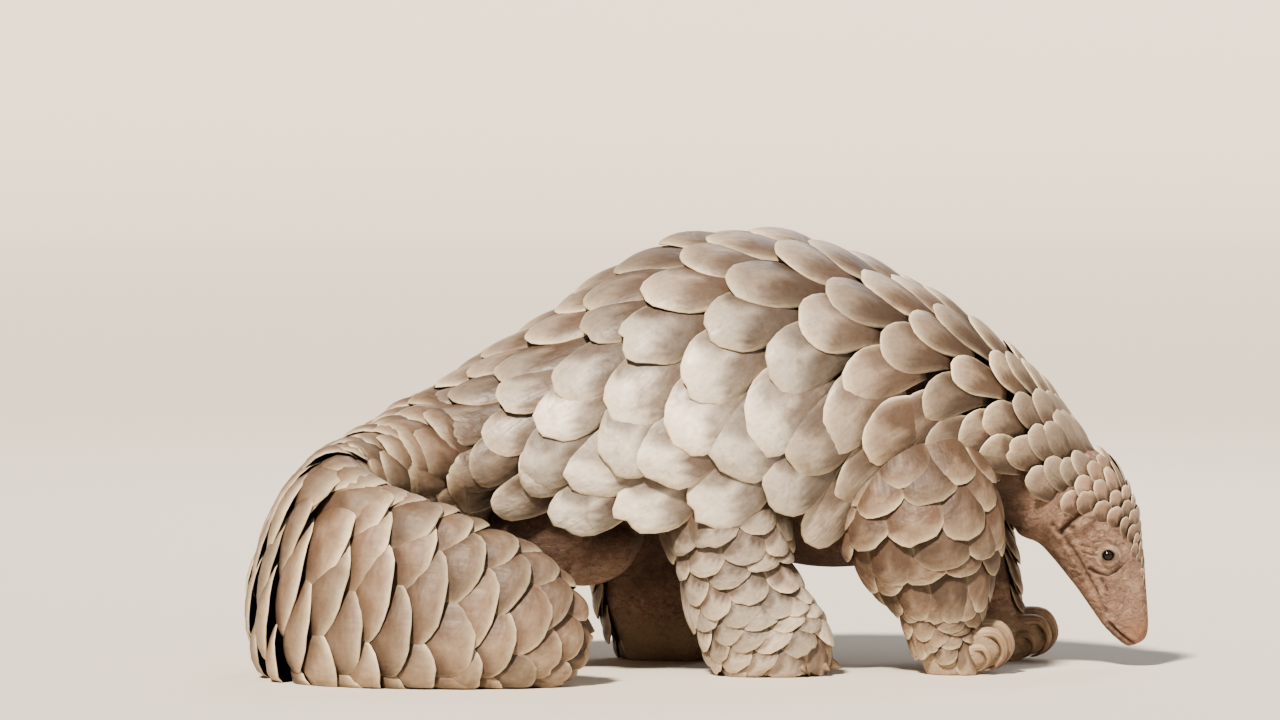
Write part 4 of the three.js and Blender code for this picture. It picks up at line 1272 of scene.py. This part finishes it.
def build_stage():
    scene = bpy.context.scene
    floor = build_floor()

    key = bpy.data.lights.new("key", "SUN")
    key.energy = SUN_POWER
    key.angle = SUN_ANGLE
    key.color = SUN_COLOUR
    stand("key", key, SUN_WAY)
    for name, at, size, power, colour in LAMPS:
        lamp = bpy.data.lights.new(name, "AREA")
        lamp.size = size
        lamp.energy = power
        lamp.color = colour
        stand(name, lamp, Vector(LAMP_AIM) - Vector(at), at)
    world = bpy.data.worlds.new("studio")
    world.use_nodes = True
    background = world.node_tree.nodes["Background"]
    background.inputs[0].default_value = WORLD_COLOUR
    background.inputs[1].default_value = WORLD_STRENGTH
    scene.world = world
    scene.view_settings.look = "AgX - Medium High Contrast"

    away = Vector((0, -math.cos(VIEW_ELEVATION), math.sin(VIEW_ELEVATION)))
    data = bpy.data.cameras.new("camera")
    data.lens = sizes().camera_lens
    data.sensor_width = FILM_WIDTH
    at = Vector(to_scene(VIEW_MIDDLE)) + away * sizes().camera_distance
    scene.camera = stand("camera", data, -away, at)


# Operators


class PANGOLIN_OT_skin(bpy.types.Operator):
    """Build the one skin that covers the body, head and legs."""

    bl_idname = "pangolin.skin"
    bl_label = "Skin"

    def execute(self, context):
        nodes = FLESH + LEG_NAMES + [name.replace("leg", "foot") for name in LEG_NAMES]
        dress(build_skin(skin_material()), "skin", *nodes)
        return {"FINISHED"}


class PANGOLIN_OT_scales(bpy.types.Operator):
    """Build the scales of the crown, trunk, tail and legs."""

    bl_idname = "pangolin.scales"
    bl_label = "Scales"

    def execute(self, context):
        horn = scale_material()
        pieces = trunk_scales(horn) + tail_scales(horn) + [crown_scales(horn)]
        pieces += [leg_scales(name, horn) for name in LEG_NAMES]
        for piece in pieces:
            dress(piece, "scute")
        return {"FINISHED"}


class PANGOLIN_OT_claws(bpy.types.Operator):
    """Build the claws of all four feet."""

    bl_idname = "pangolin.claws"
    bl_label = "Claws"

    def execute(self, context):
        build_claws(claw_material())
        return {"FINISHED"}


class PANGOLIN_OT_eyes(bpy.types.Operator):
    """Build the two eyes."""

    bl_idname = "pangolin.eyes"
    bl_label = "Eyes"

    def execute(self, context):
        build_eyes(eye_material())
        return {"FINISHED"}


class PANGOLIN_OT_stage(bpy.types.Operator):
    """Build the floor, the lights and the camera."""

    bl_idname = "pangolin.stage"
    bl_label = "Stage"

    def execute(self, context):
        build_stage()
        return {"FINISHED"}


STEPS = [PANGOLIN_OT_skin, PANGOLIN_OT_scales, PANGOLIN_OT_claws, PANGOLIN_OT_eyes, PANGOLIN_OT_stage]


class PANGOLIN_PT_panel(bpy.types.Panel):
    """Lists the steps, sizes and colours."""

    bl_idname = "PANGOLIN_PT_panel"
    bl_label = "Pangolin"
    bl_space_type = "VIEW_3D"
    bl_region_type = "UI"
    bl_category = "Pangolin"

    def draw(self, context):
        for step in STEPS:
            self.layout.operator(step.bl_idname)
        for group in (context.scene.pangolin_sizes, context.scene.pangolin_colours):
            box = self.layout.box()
            for key in group.__annotations__:
                box.prop(group, key)


CLASSES = [PangolinSizes, PangolinColours, *STEPS, PANGOLIN_PT_panel]


def register():
    for cls in CLASSES:
        bpy.utils.register_class(cls)
    bpy.types.Scene.pangolin_sizes = bpy.props.PointerProperty(type=PangolinSizes)
    bpy.types.Scene.pangolin_colours = bpy.props.PointerProperty(type=PangolinColours)


def unregister():
    del bpy.types.Scene.pangolin_colours
    del bpy.types.Scene.pangolin_sizes
    for cls in reversed(CLASSES):
        bpy.utils.unregister_class(cls)


def main():
    register()
    bpy.ops.pangolin.skin()
    bpy.ops.pangolin.scales()
    bpy.ops.pangolin.claws()
    bpy.ops.pangolin.eyes()
    bpy.ops.pangolin.stage()


if __name__ == "__main__":
    main()
